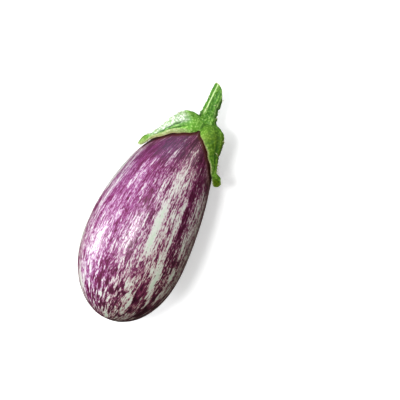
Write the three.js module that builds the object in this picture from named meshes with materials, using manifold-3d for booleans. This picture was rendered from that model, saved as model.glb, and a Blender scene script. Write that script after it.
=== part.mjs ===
// A striped eggplant as picked, lying on its side: the fruit, the calyx that caps it and the cut stem.
// Millimetres, +Z up, the stem towards +X. The origin is the middle of the small flat spot that it rests on.
// Everything is modelled along the fruit's own axis, and one group at the end lays it down.
import * as THREE from "three";
import { mergeVertices } from "three/addons/utils/BufferGeometryUtils.js";
import Module from "manifold-3d";

// ---------- driving dimensions ----------

const FRUIT = {
  length: 159, // from the blossom end to the top under the stem
  radius: 40, // at the belly
  belly: 58, // distance of the belly from the blossom end
  blossomFullness: -0.15, // above 0 makes that half slimmer than an ellipse, below 0 fuller
  neckFullness: 0.2,
  bow: 3.7, // how far the middle bows to the left
  stemShift: 7.8, // how far to the right of the middle line the stem sits
  shiftStarts: 0.72, // share of the length where that shift begins
  scarRadius: 5, // the shallow dimple at the blossom end
  scarDepth: 1.4,
  sides: 64,
  rings: 40,
};
// Low rounded ridges that run from end to end, so that the fruit isn't quite round.
const RIDGES = [
  { count: 3, height: 0.35, turn: 0.6 },
  { count: 5, height: 0.2, turn: 3.78 },
];
const REST = {
  pitch: 0.103, // radians that the neck dips by when the fruit lies still
  balance: 80.3, // distance of the flat spot's middle from the blossom end
  flat: 0.7, // depth of the flat spot
};
const GAP = 0.5; // between the calyx and the fruit's skin
const SEAM = 0.3; // between the calyx and the stem

const { degToRad: degrees, lerp, mapLinear, smoothstep } = THREE.MathUtils;
const bell = (x, middle, spread) => Math.exp(-(((x - middle) / spread) ** 2));

// Each lobe of the calyx leaves the stem at `angle` and ends at `tipAngle`, both measured round the fruit from
// its upper side, the right-hand side being 90. `reach` runs along the skin, `width` is the half width at the
// shoulder, `hump` the height of the arch there, and `lift` how far the tip stands off the skin before it curls
// up by `curl`. `twist` turns the tip about the lobe's own course, and `wave` is where its waves start. Degrees.
const LOBES_IN_DEGREES = [
  { angle: 53, tipAngle: 87, reach: 47.5, width: 11.5, hump: 5.4, lift: 0.3, curl: 75, twist: 55, wave: 0.5 },
  { angle: 128, tipAngle: 134, reach: 41, width: 10.5, hump: 5, lift: 0.5, curl: 80, twist: -25, wave: 1.9 },
  { angle: 184, tipAngle: 178, reach: 35, width: 11, hump: 3.4, lift: 0, curl: 0, twist: 0, wave: 3.1 },
  { angle: 238, tipAngle: 232, reach: 42, width: 11, hump: 5, lift: 0.4, curl: 60, twist: 20, wave: 4.4 },
  { angle: 299, tipAngle: 276, reach: 43.5, width: 13.3, hump: 7.8, lift: 0.4, curl: 90, twist: -35, wave: 5 },
];
const LOBES = LOBES_IN_DEGREES.map((lobe) => ({
  ...lobe,
  angle: degrees(lobe.angle),
  tipAngle: degrees(lobe.tipAngle),
  curl: degrees(lobe.curl),
  twist: degrees(lobe.twist),
}));

const LOBE = {
  start: -3, // every lobe begins this far behind the stem's middle, so that they grow together there
  shoulder: 13, // distance from the stem of the arch's crest and of the widest place
  rise: 8.5, // length over which the arch rises beside the stem
  fall: 14, // length over which it falls towards the tip
  neck: 7.5, // half width beside the stem
  tip: 2.2, // half width near the tip
  bulb: 1.1, // how much wider the spoon at the tip is
  taper: 1.05, // above 1 makes the sides between shoulder and tip hollow
  thick: 2.3, // thickness along the middle
  edge: 1.3, // thickness at the margin
  rib: 0.9, // height of the raised middle rib
  ribWidth: 1.4,
  pucker: 0.35, // height of the puckers between the side veins
  puckerPitch: 4.6, // distance from one to the next
  ruffle: 0.45, // height of the waves of the margin
  rufflePitch: 11, // distance from one wave to the next
  twistStarts: 0.72, // share of the reach from which the tip turns and thins
  thin: 0.75, // share of the thickness left at the tip
  curlRadius: 4, // of the curled tip
  lengthSteps: 34,
  widthSteps: 10,
};
const BOSS = { foot: 13, height: 4.6, rings: 4, sides: 36 }; // the mound where the lobes join round the stem

const STEM = {
  foot: 2.2, // height over the skin of its lower end, which is set into the calyx
  length: 29.6, // from there to the far edge of the cut
  radius: 4.8,
  flare: 1.9, // extra radius at the foot
  flareLength: 10,
  lean: 0.072, // radians towards the left
  bend: 0.3, // how far its middle bows to the left
  ribs: 5,
  ribHeight: 0.5,
  keel: 1.0, // the one tall rib, on the right, with a scalloped back
  keelStart: 12.5, // distance of its blunt lower end from the foot
  keelScallop: 5.5, // length of one scallop
  keelSpread: 0.42, // radians
  // The cut end is rounded: each slant faces right, through a point so far to the right and down from the tip.
  cuts: [
    { slant: degrees(13), right: 0, down: 0 },
    { slant: degrees(40), right: 3, down: 0.7 },
    { slant: degrees(64), right: 6.6, down: 3.7 },
  ],
  sides: 40,
  rings: 18,
};

const SPINE = { radius: 0.45, length: 3.0, sunk: 0.7, sides: 4 };
// Where the spines stand on each lobe: share of its length, and share of its width.
const SPINE_PLACES = [
  [0.38, 0.55],
  [0.54, 0.4],
  [0.68, 0.62],
  [0.79, 0.5],
];
const STEM_SPINES = 6;
const GOLDEN_ANGLE = Math.PI * (3 - Math.sqrt(5));

// ---------- solids ----------

const wasm = await Module();
wasm.setup();

/** A closed three.js geometry as a solid that can be joined and cut. */
function solidOf(geometry) {
  const bare = geometry.clone().deleteAttribute("normal").deleteAttribute("uv");
  const merged = mergeVertices(bare, 1e-4);
  return new wasm.Manifold(
    new wasm.Mesh({
      numProp: 3,
      vertProperties: merged.attributes.position.array,
      triVerts: new Uint32Array(merged.index.array),
    }),
  );
}

/** A solid back as a three.js geometry. */
function geometryOf(solid) {
  const { numProp, numVert, vertProperties, triVerts } = solid.getMesh();
  const places = new Float32Array(numVert * 3);
  for (let i = 0; i < numVert; i++) places.set(vertProperties.subarray(i * numProp, i * numProp + 3), i * 3);
  const geometry = new THREE.BufferGeometry();
  geometry.setAttribute("position", new THREE.BufferAttribute(places, 3));
  geometry.setIndex(new THREE.BufferAttribute(triVerts, 1));
  geometry.computeVertexNormals();
  return geometry;
}

/** Moves every vertex of a geometry to map(vertex). */
function warp(geometry, map) {
  const places = geometry.attributes.position;
  const vertex = new THREE.Vector3();
  for (let i = 0; i < places.count; i++) {
    vertex.fromBufferAttribute(places, i);
    places.setXYZ(i, ...map(vertex));
  }
  return geometry;
}

/** A closed blade: point(u, v, top) gives its two faces, which are split into triangles alike. */
function blade(uSteps, vSteps, point) {
  const row = vSteps + 1;
  const side = (uSteps + 1) * row;
  const places = [];
  for (const top of [0, 1])
    for (let i = 0; i <= uSteps; i++)
      for (let j = 0; j <= vSteps; j++) places.push(...point(i / uSteps, j / vSteps, top));
  const faces = [];
  for (let i = 0; i < uSteps; i++)
    for (let j = 0; j < vSteps; j++) {
      const [a, b, c, d] = [i * row + j, (i + 1) * row + j, (i + 1) * row + j + 1, i * row + j + 1];
      faces.push(a + side, b + side, c + side, a + side, c + side, d + side, a, c, b, a, d, c);
    }
  const rim = [];
  for (let j = 0; j < vSteps; j++) rim.push(j);
  for (let i = 0; i < uSteps; i++) rim.push(i * row + vSteps);
  for (let j = vSteps; j > 0; j--) rim.push(uSteps * row + j);
  for (let i = uSteps; i > 0; i--) rim.push(i * row);
  rim.forEach((a, k) => {
    const b = rim[(k + 1) % rim.length];
    faces.push(a, a + side, b + side, a, b + side, b);
  });
  const geometry = new THREE.BufferGeometry();
  geometry.setAttribute("position", new THREE.Float32BufferAttribute(places, 3));
  geometry.setIndex(faces);
  return geometry;
}

// ---------- fruit ----------

/** Radius of the fruit at x from the blossom end: two half ovals that meet at the belly. */
function radiusAt(x) {
  const neck = x > FRUIT.belly;
  const half = neck ? FRUIT.length - FRUIT.belly : FRUIT.belly;
  const fullness = neck ? FRUIT.neckFullness : FRUIT.blossomFullness;
  const t = Math.min(1, Math.abs(x - FRUIT.belly) / half);
  return FRUIT.radius * Math.sqrt(Math.max(0, 1 - t * t * (1 + fullness * (1 - t))));
}

/** How far the middle line lies to the left at x. */
function middleAt(x) {
  const share = x / FRUIT.length;
  const late = Math.max(0, (share - FRUIT.shiftStarts) / (1 - FRUIT.shiftStarts));
  const bow = FRUIT.bow * (Math.sin(Math.PI * share) - 0.5);
  return bow - (FRUIT.stemShift - FRUIT.bow / 2) * late ** 2.2;
}

/** A point of the skin at x from the blossom end, `angle` round from the upper side. */
function skin(x, angle) {
  const radius = radiusAt(x);
  const stout = radius / FRUIT.radius;
  let r = radius;
  for (const { count, height, turn } of RIDGES) r += stout * height * Math.cos(count * angle + turn);
  const scar = x < FRUIT.belly ? FRUIT.scarDepth * bell(radius, 0, FRUIT.scarRadius) : 0;
  return new THREE.Vector3(x + scar, middleAt(x) - r * Math.sin(angle), r * Math.cos(angle));
}

/** The fruit, from a sphere whose upper pole goes to the stem and whose lower pole to the blossom end. */
function fruitSolid() {
  const sphere = new THREE.SphereGeometry(1, FRUIT.sides, FRUIT.rings);
  return solidOf(
    warp(sphere, ({ x, y, z }) => {
      const half = y > 0 ? FRUIT.length - FRUIT.belly : FRUIT.belly;
      return skin(FRUIT.belly + half * y, Math.atan2(x, z));
    }),
  );
}

// ---------- calyx ----------

/** How far along the skin each x lies from the top under the stem, in steps that are small near that top. */
const SKIN_STEPS = 500;
const skinSteps = [{ along: 0, x: FRUIT.length }];
for (let i = 1; i <= SKIN_STEPS; i++) {
  const last = skinSteps.at(-1);
  const x = lerp(FRUIT.length, FRUIT.belly, (i / SKIN_STEPS) ** 2);
  skinSteps.push({ along: last.along + Math.hypot(last.x - x, radiusAt(x) - radiusAt(last.x)), x });
}

/** The x that lies `along` the skin from the top under the stem. */
function xAlong(along) {
  const next = skinSteps.findIndex((s) => s.along >= along);
  if (next <= 0) return FRUIT.length;
  const [a, b] = [skinSteps[next - 1], skinSteps[next]];
  return mapLinear(along, a.along, b.along, a.x, b.x);
}

/** A point `height` above the skin, `along` it from the stem's middle in the direction `angle`. */
function overSkin(along, angle, height) {
  const [step, turn, top] = [0.5, 0.05, 4];
  const x = xAlong(Math.max(along, step));
  const ahead = skin(xAlong(Math.max(along, step) + step), angle).sub(skin(x, angle));
  const aside = skin(x, angle + turn).sub(skin(x, angle - turn));
  const normal = ahead.cross(aside).normalize();
  normal.lerp(new THREE.Vector3(1, 0, 0), 1 - smoothstep(along, 0, top)).normalize();
  return skin(xAlong(along), angle).addScaledVector(normal, height);
}

/** Half width of a lobe at t from the stem: broad at the shoulder, then tapering to a slim tip with a bulb. */
function halfWidth(lobe, t) {
  const { shoulder, neck, tip, bulb, taper } = LOBE;
  if (t < shoulder) return lerp(neck, lobe.width, smoothstep(t, 0, shoulder));
  const share = Math.min(1, (t - shoulder) / (lobe.reach - shoulder));
  return (lobe.width - tip) * (1 - share) ** taper + tip + bulb * smoothstep(share, 0.85, 1);
}

/** A lobe's middle at u: the run along it, t over the skin, the height there, and how far it has curled. */
function course(lobe, u) {
  const { start, curlRadius } = LOBE;
  const run = start + u * (lobe.reach - start + curlRadius * lobe.curl);
  const turn = Math.max(0, run - lobe.reach) / curlRadius;
  const lift = lobe.lift * smoothstep(run, 0.5 * lobe.reach, lobe.reach);
  const t = Math.min(run, lobe.reach) + curlRadius * Math.sin(turn);
  return { run, t, height: lift + curlRadius * (1 - Math.cos(turn)), turn };
}

/** Height of a lobe's upper face over its lower one, t from the stem, `side` running from -1 to 1 across it. */
function bodyAt(lobe, t, side) {
  const { shoulder, rise, fall, thick, edge, rib, ribWidth, pucker, puckerPitch, twistStarts, thin } = LOBE;
  const q = side * side;
  const arch = lobe.hump * bell(t, shoulder, t < shoulder ? rise : fall) * (1 - q) ** 0.7;
  const ridge = rib * bell(side * halfWidth(lobe, t), 0, ribWidth);
  const row = Math.sin((2 * Math.PI * t) / puckerPitch - 4 * Math.abs(side));
  const puckers = pucker * row * Math.sqrt(q) * (1 - q);
  const thinning = lerp(1, thin, smoothstep(t / lobe.reach, twistStarts, 1));
  return arch + (lerp(thick, edge, q) + ridge + puckers) * thinning;
}

/** Height of the waves along the margin, which the tip and the part beside the stem don't have. */
function ruffleAt(lobe, t, side) {
  const { shoulder, ruffle, rufflePitch } = LOBE;
  const wave = 1 + Math.sin((2 * Math.PI * t) / rufflePitch + lobe.wave + side);
  const outer = smoothstep(t, shoulder, shoulder + 8) * (1 - smoothstep(t, lobe.reach - 6, lobe.reach));
  return ruffle * side ** 4 * outer * wave;
}

/** A point of a lobe, u along it, v across it from 0 to 1, on its upper or lower face. */
function lobePoint(lobe, u, v, top) {
  const { t, run, height, turn } = course(lobe, u);
  const side = 2 * v - 1;
  const width = halfWidth(lobe, run) * Math.sqrt(1 - 0.85 * smoothstep(u, 0.92, 1));
  const thickness = ruffleAt(lobe, run, side) + (top ? bodyAt(lobe, run, side) : 0);
  const tilt = lobe.twist * smoothstep(run / lobe.reach, LOBE.twistStarts, 1);
  const aside = side * width * Math.cos(tilt) - thickness * Math.sin(tilt);
  const off = side * width * Math.sin(tilt) + thickness * Math.cos(tilt) + Math.abs(width * Math.sin(tilt));
  const reached = t - off * Math.sin(turn);
  const heading = lerp(lobe.angle, lobe.tipAngle, (Math.max(0, reached) / lobe.reach) ** 2);
  const girth = Math.sign(reached) * radiusAt(xAlong(Math.abs(reached)));
  const angle = heading + Math.atan2(aside, girth);
  return overSkin(Math.hypot(reached, aside), angle, GAP + height + off * Math.cos(turn));
}

/** Height of the boss's upper face over the skin. */
function bossHeight(along) {
  const share = Math.min(1, along / BOSS.foot);
  return GAP + LOBE.edge + (BOSS.height - LOBE.edge) * (1 - share * share);
}

/** The boss where the lobes join, from a section turned round the stem's middle and laid on the skin. */
function bossSolid() {
  const { foot, rings, sides } = BOSS;
  const alongs = Array.from({ length: rings + 1 }, (_, i) => (i / rings) * foot);
  const section = alongs.map((along) => new THREE.Vector2(along, GAP));
  section.push(...alongs.reverse().map((along) => new THREE.Vector2(along, bossHeight(along))));
  const turned = new THREE.LatheGeometry(section, sides);
  return solidOf(warp(turned, ({ x, y, z }) => overSkin(Math.hypot(x, z), Math.atan2(x, z), y)));
}

/** One spine from `root` along `direction`, sunk a little into what it grows from. */
function spineSolid(root, direction) {
  const cone = new THREE.ConeGeometry(SPINE.radius, SPINE.length, SPINE.sides);
  cone.translate(0, SPINE.length / 2 - SPINE.sunk, 0);
  cone.applyQuaternion(new THREE.Quaternion().setFromUnitVectors(new THREE.Vector3(0, 1, 0), direction));
  cone.translate(...root);
  return solidOf(cone);
}

/** The whole calyx: boss, lobes and their spines, which lean towards the tips. */
function calyxSolid() {
  const [onwardStep, leaning] = [0.02, 0.5];
  let calyx = bossSolid();
  for (const lobe of LOBES) {
    const sheet = blade(LOBE.lengthSteps, LOBE.widthSteps, (u, v, top) => lobePoint(lobe, u, v, top));
    calyx = calyx.add(solidOf(sheet));
    for (const [u, v] of SPINE_PLACES) {
      const root = lobePoint(lobe, u, v, 1);
      const onward = lobePoint(lobe, u + onwardStep, v, 1).sub(root).normalize();
      const upward = root.clone().sub(lobePoint(lobe, u, v, 0)).normalize();
      calyx = calyx.add(spineSolid(root, upward.addScaledVector(onward, leaning).normalize()));
    }
  }
  return calyx;
}

// ---------- stem ----------

/** A point of the stem, `along` it, `angle` round it from its upper side, at `share` of its radius. */
function stemPoint(along, angle, share, grow = 0) {
  const { length, radius, flare, flareLength, lean, bend, ribs, ribHeight } = STEM;
  const foot = flare * Math.max(0, 1 - along / flareLength) ** 2;
  const rib = ribHeight * Math.cos(ribs * angle + 0.5);
  const r = (radius + foot + rib + keelHeight(along, angle) + grow) * share;
  const side = lean * along + bend * Math.sin((Math.PI * along) / length);
  return new THREE.Vector3(along, side - r * Math.sin(angle), r * Math.cos(angle));
}

/** Height of the tall rib over the rest: it starts bluntly and has a scalloped back. */
function keelHeight(along, angle) {
  const { keel, keelStart, keelScallop, keelSpread } = STEM;
  const scallop = 0.4 + 0.6 * Math.abs(Math.sin((Math.PI * (along - keelStart)) / keelScallop));
  return keel * scallop * bell(angle, Math.PI / 2, keelSpread) * smoothstep(along, keelStart, keelStart + 1.5);
}

/** The stem before it is cut, from a closed cylinder, grown outwards by `grow`. */
function rodSolid(grow) {
  const spare = 6;
  const length = STEM.length + spare;
  const rod = new THREE.CylinderGeometry(1, 1, length, STEM.sides, STEM.rings);
  rod.translate(0, length / 2, 0);
  return solidOf(warp(rod, ({ x, y, z }) => stemPoint(y - grow, Math.atan2(x, z), Math.hypot(x, z), grow)));
}

/** The ribbed stem with its spines, its end cut and rounded off. */
function stemSolid() {
  const { length, cuts } = STEM;
  const [lowest, highest, leaning] = [8, length - 7, 0.4];
  let stem = rodSolid(0);
  for (let i = 0; i < STEM_SPINES; i++) {
    const angle = (i + 0.4) * GOLDEN_ANGLE;
    const along = lerp(lowest, highest, i / (STEM_SPINES - 1));
    const root = stemPoint(along, angle, 1);
    const upward = root.clone().sub(stemPoint(along, angle, 0)).normalize();
    stem = stem.add(spineSolid(root, upward.add(new THREE.Vector3(leaning, 0, 0)).normalize()));
  }
  const tip = stemPoint(length, -Math.PI / 2, 1);
  const knifeSize = 60;
  for (const { slant, right, down } of cuts) {
    const knife = new THREE.BoxGeometry(knifeSize, knifeSize, knifeSize);
    knife.translate(knifeSize / 2, 0, 0);
    knife.rotateZ(-slant);
    knife.translate(tip.x - down, tip.y - right, 0);
    stem = stem.subtract(solidOf(knife));
  }
  return stem;
}

// ---------- materials ----------

const SKIN = new THREE.MeshStandardMaterial({ color: 0x7a3a72, roughness: 0.3, metalness: 0 });
const LEAF = new THREE.MeshStandardMaterial({ color: 0x6fa43c, roughness: 0.6, metalness: 0 });
const STALK = new THREE.MeshStandardMaterial({ color: 0x5f9435, roughness: 0.6, metalness: 0 });

// ---------- assembly ----------

const eggplant = new THREE.Group();
const lying = new THREE.Group();
eggplant.add(lying);
lying.rotation.y = REST.pitch;
const underside = new THREE.Vector3(REST.balance, middleAt(REST.balance), REST.flat - radiusAt(REST.balance));
lying.position.copy(underside.applyEuler(lying.rotation).negate());
lying.updateMatrix();

const floorSize = 400;
const floor = new THREE.BoxGeometry(floorSize, floorSize, floorSize);
floor.translate(0, 0, -floorSize / 2);
floor.applyMatrix4(lying.matrix.clone().invert());

const stemFoot = overSkin(0, 0, STEM.foot).toArray();
const pieces = [
  ["fruit", fruitSolid().subtract(solidOf(floor)), SKIN],
  ["calyx", calyxSolid().subtract(rodSolid(SEAM).translate(stemFoot)), LEAF],
  ["stem", stemSolid().translate(stemFoot), STALK],
];
for (const [name, solid, material] of pieces) {
  const mesh = new THREE.Mesh(geometryOf(solid), material);
  mesh.name = name;
  lying.add(mesh);
}

export default eggplant;
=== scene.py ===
# %% [markdown]
# # A striped eggplant in Blender
# A striped eggplant lies on its side: a glossy fruit under a five-lobed green cap, the calyx, with the cut
# stem above it. The solids of the CAD model are loaded first, as the frame that fixes size and place. Every
# piece is then modelled again with far more points, so that veins, wrinkles and prickles are real shape, and
# only pores and colour are left to the materials.

# %% Load the frame
import math
import bpy
import numpy as np
from mathutils import Matrix, Vector
from mathutils.kdtree import KDTree


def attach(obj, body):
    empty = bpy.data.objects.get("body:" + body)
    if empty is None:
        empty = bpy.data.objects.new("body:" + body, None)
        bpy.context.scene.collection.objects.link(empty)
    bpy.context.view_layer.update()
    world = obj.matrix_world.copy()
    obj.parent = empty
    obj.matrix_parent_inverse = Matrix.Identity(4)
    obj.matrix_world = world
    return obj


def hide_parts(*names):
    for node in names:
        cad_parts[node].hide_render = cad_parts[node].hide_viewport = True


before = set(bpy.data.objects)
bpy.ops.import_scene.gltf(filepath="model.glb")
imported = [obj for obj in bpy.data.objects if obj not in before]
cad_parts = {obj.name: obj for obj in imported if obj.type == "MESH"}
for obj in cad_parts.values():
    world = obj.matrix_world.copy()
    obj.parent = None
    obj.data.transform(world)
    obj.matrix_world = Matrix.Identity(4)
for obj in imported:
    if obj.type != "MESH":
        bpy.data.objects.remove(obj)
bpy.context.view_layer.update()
MM = 0.001  # shapes are worked out in millimetres, and Blender's unit is the metre

# %% [markdown]
# ## Small tools for shapes
# A fruit has no straight edge, so every piece here is a formula that is evaluated on a fine grid. numpy
# evaluates it for all points at once. `lumps` is a smooth random field: it blends random numbers that sit on
# a lattice, and its seed makes each run give the same lumps.

# %% Tools for shapes
X_AXIS = np.array([1.0, 0.0, 0.0])


def smooth(value, low, high):
    """0 below low, 1 above high, and a smooth rise between them."""
    t = np.clip((np.asarray(value, float) - low) / (high - low), 0, 1)
    return t * t * (3 - 2 * t)


def bell(value, middle, spread):
    """1 at the middle, falling off smoothly on both sides."""
    return np.exp(-(((value - middle) / spread) ** 2))


def mix(a, b, share):
    return a + (b - a) * share


def unit(vectors):
    return vectors / np.maximum(np.linalg.norm(vectors, axis=-1, keepdims=True), 1e-12)


def lumps(places, size, seed):
    """Smooth random values from -1 to 1, with lumps of that size."""
    cells = 32
    table = np.random.default_rng(seed).uniform(-1, 1, (cells, cells, cells))
    places = np.asarray(places, float) / size
    cell = np.floor(places).astype(int)
    part = places - cell
    part = part * part * (3 - 2 * part)
    total = 0.0
    for corner in np.ndindex(2, 2, 2):
        weight = np.prod(np.where(corner, part, 1 - part), axis=-1)
        i, j, k = np.moveaxis((cell + corner) % cells, -1, 0)
        total = total + weight * table[i, j, k]
    return total


print("lumps half a lump apart:", lumps([[step / 2, 0, 0] for step in range(5)], 1.0, 1).round(2))

# %% [markdown]
# ## The shape of the fruit
# The fruit is a long egg: two half ovals that meet at the belly, a little slimmer towards the stem. Its
# middle line bows, and near the top it bends towards the stem. A lathe would give a perfect solid of
# revolution, which no real fruit is, so the radius also gets a few very low ridges from end to end and
# shallow dents. `skin` gives any point of it, so that the calyx and the marks can be laid on it later.

# %% Sizes of the fruit
LENGTH = 159.0  # from the blossom end to the top under the stem
RADIUS = 40.0  # at the belly
BELLY = 58.0  # distance of the belly from the blossom end
BLOSSOM_FULLNESS, NECK_FULLNESS = -0.15, 0.2
BOW, STEM_SHIFT, SHIFT_STARTS = 3.7, 7.8, 0.72
RIDGES = [(3, 0.35, 0.6), (5, 0.2, 3.78)]  # how many, their height, and where they start round the fruit
SCAR_RADIUS, SCAR_DEPTH = 5.0, 1.4  # the dimple at the blossom end
PITCH = 0.103  # how much the lying fruit dips, in radians
BALANCE, FLAT = 80.3, 0.7  # where it rests, from the blossom end, and how deep the flat spot there is
print("fruit:", LENGTH, "mm long,", 2 * RADIUS, "mm across")


# %% The fruit's formula
def radius_at(x):
    neck = x > BELLY
    half = np.where(neck, LENGTH - BELLY, BELLY)
    fullness = np.where(neck, NECK_FULLNESS, BLOSSOM_FULLNESS)
    t = np.minimum(1, np.abs(x - BELLY) / half)
    return RADIUS * np.sqrt(np.maximum(0, 1 - t * t * (1 + fullness * (1 - t))))


def middle_at(x):
    share = x / LENGTH
    late = np.maximum(0, (share - SHIFT_STARTS) / (1 - SHIFT_STARTS))
    return BOW * (np.sin(np.pi * share) - 0.5) - (STEM_SHIFT - BOW / 2) * late**2.2


def skin(x, angle):
    """A point of the skin at x from the blossom end, `angle` round it from the upper side."""
    radius = radius_at(x)
    r = radius.copy()
    for count, height, turn in RIDGES:
        r = r + radius / RADIUS * height * np.cos(count * angle + turn)
    scar = np.where(x < BELLY, SCAR_DEPTH * bell(radius, 0, SCAR_RADIUS), 0)
    return np.stack([x + scar, middle_at(x) - r * np.sin(angle), r * np.cos(angle)], -1)


print("radius at tenths of the length, in mm:", radius_at(np.linspace(0, LENGTH, 11)).round(1))

# %% Distances over the skin
PROFILE_STOPS = 4001

PROFILE_X = LENGTH * (1 + np.cos(np.pi * np.linspace(0, 1, PROFILE_STOPS))) / 2
PROFILE_STEPS = np.hypot(np.diff(PROFILE_X), np.diff(radius_at(PROFILE_X)))
PROFILE_ALONG = np.concatenate([[0], np.cumsum(PROFILE_STEPS)])
SKIN_LENGTH = PROFILE_ALONG[-1]


def x_along(along):
    """The x that lies that far along the skin from the top under the stem."""
    return np.interp(along, PROFILE_ALONG, PROFILE_X)


print("from the stem to the blossom end over the skin:", round(SKIN_LENGTH, 1), "mm")


# %% Lay the fruit down
def lay_down(points):
    """From the fruit's own axis, in millimetres, to the frame, in metres."""
    belly = np.array(BALANCE)
    underside = np.array([BALANCE, middle_at(belly), FLAT - radius_at(belly)])
    c, s = math.cos(PITCH), math.sin(PITCH)
    return (points - underside) @ np.array([[c, 0, s], [0, 1, 0], [-s, 0, c]]).T * MM


print("the top under the stem lies at, in mm:", (lay_down(np.array([LENGTH, 0, 0])) / MM).round(1))

# %% [markdown]
# ## A mesh from a grid
# `new_piece` turns points and faces into a smooth-shaded object, and `store` keeps values on its points. A
# material reads such values by name, as attributes, and that is how the streaks will know which way the fruit
# grows.

# %% Make a piece from points
def new_piece(name, points, faces):
    """A smooth-shaded mesh object from points in metres."""
    mesh = bpy.data.meshes.new(name)
    mesh.from_pydata(points.tolist(), [], faces)
    mesh.shade_smooth()
    piece = bpy.data.objects.new(name, mesh)
    bpy.context.scene.collection.objects.link(piece)
    return piece


def store(piece, values):
    """Stores values or vectors on the points of a piece, each under its name."""
    for name, value in values.items():
        value = np.asarray(value, np.float32)
        kind, field = ("FLOAT_VECTOR", "vector") if value.ndim == 2 else ("FLOAT", "value")
        piece.data.attributes.new(name, kind, "POINT").data.foreach_set(field, value.ravel())


def grid_faces(rows, columns, closed):
    """Quads over a grid of points; a closed grid joins its last column to its first."""
    faces = []
    for i in range(rows - 1):
        for j in range(columns if closed else columns - 1):
            k = (j + 1) % columns
            faces.append((i * columns + j, (i + 1) * columns + j, (i + 1) * columns + k, i * columns + k))
    return faces


print("faces of a closed grid of 3 by 4 points:", len(grid_faces(3, 4, closed=True)))

# %% [markdown]
# ## The mesh of the fruit
# Rows of points run round the fruit, evenly spaced over the skin from the stem to the blossom end, and one
# point closes each end. Very shallow dents keep the reflections from looking turned on a lathe. Points that
# would be under the floor are lifted onto it: that is the small flat spot on which the fruit rests.

# %% Points of the skin
SKIN_ROWS, SKIN_COLUMNS = 250, 360
DENT_SIZE, DENT_DEPTH = 26.0, 0.35

share = np.linspace(0, 1, SKIN_ROWS + 2)[1:-1]
turn = np.linspace(0, 2 * np.pi, SKIN_COLUMNS, endpoint=False)
SHARE, ANGLE = (a.ravel() for a in np.meshgrid(share, turn, indexing="ij"))
ends = skin(np.array([LENGTH, 0.0]), np.zeros(2))
own = np.concatenate([skin(x_along(SHARE * SKIN_LENGTH), ANGLE), ends])
SHARE, ANGLE = np.concatenate([SHARE, [0, 1]]), np.concatenate([ANGLE, [0, 0]])
centre = np.stack([own[:, 0], middle_at(own[:, 0]), 0 * own[:, 0]], -1)
dents = DENT_DEPTH * (lumps(own, DENT_SIZE, 1) - 1) / 2
own = own + unit(own - centre) * (dents * smooth(SHARE * (1 - SHARE), 0, 0.05))[:, None]
skin_points = lay_down(own)
skin_points[:, 2] = np.maximum(skin_points[:, 2], 0)
print("points of the skin:", len(skin_points))

# %% Build the fruit
skin_faces = grid_faces(SKIN_ROWS, SKIN_COLUMNS, closed=True)
top, bottom = len(own) - 2, len(own) - 1
last_row = (SKIN_ROWS - 1) * SKIN_COLUMNS
for j in range(SKIN_COLUMNS):
    k = (j + 1) % SKIN_COLUMNS
    skin_faces += [(top, j, k), (bottom, last_row + k, last_row + j)]
fruit = new_piece("fruit_skin", skin_points, skin_faces)
print("faces of the skin:", len(skin_faces))
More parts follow.
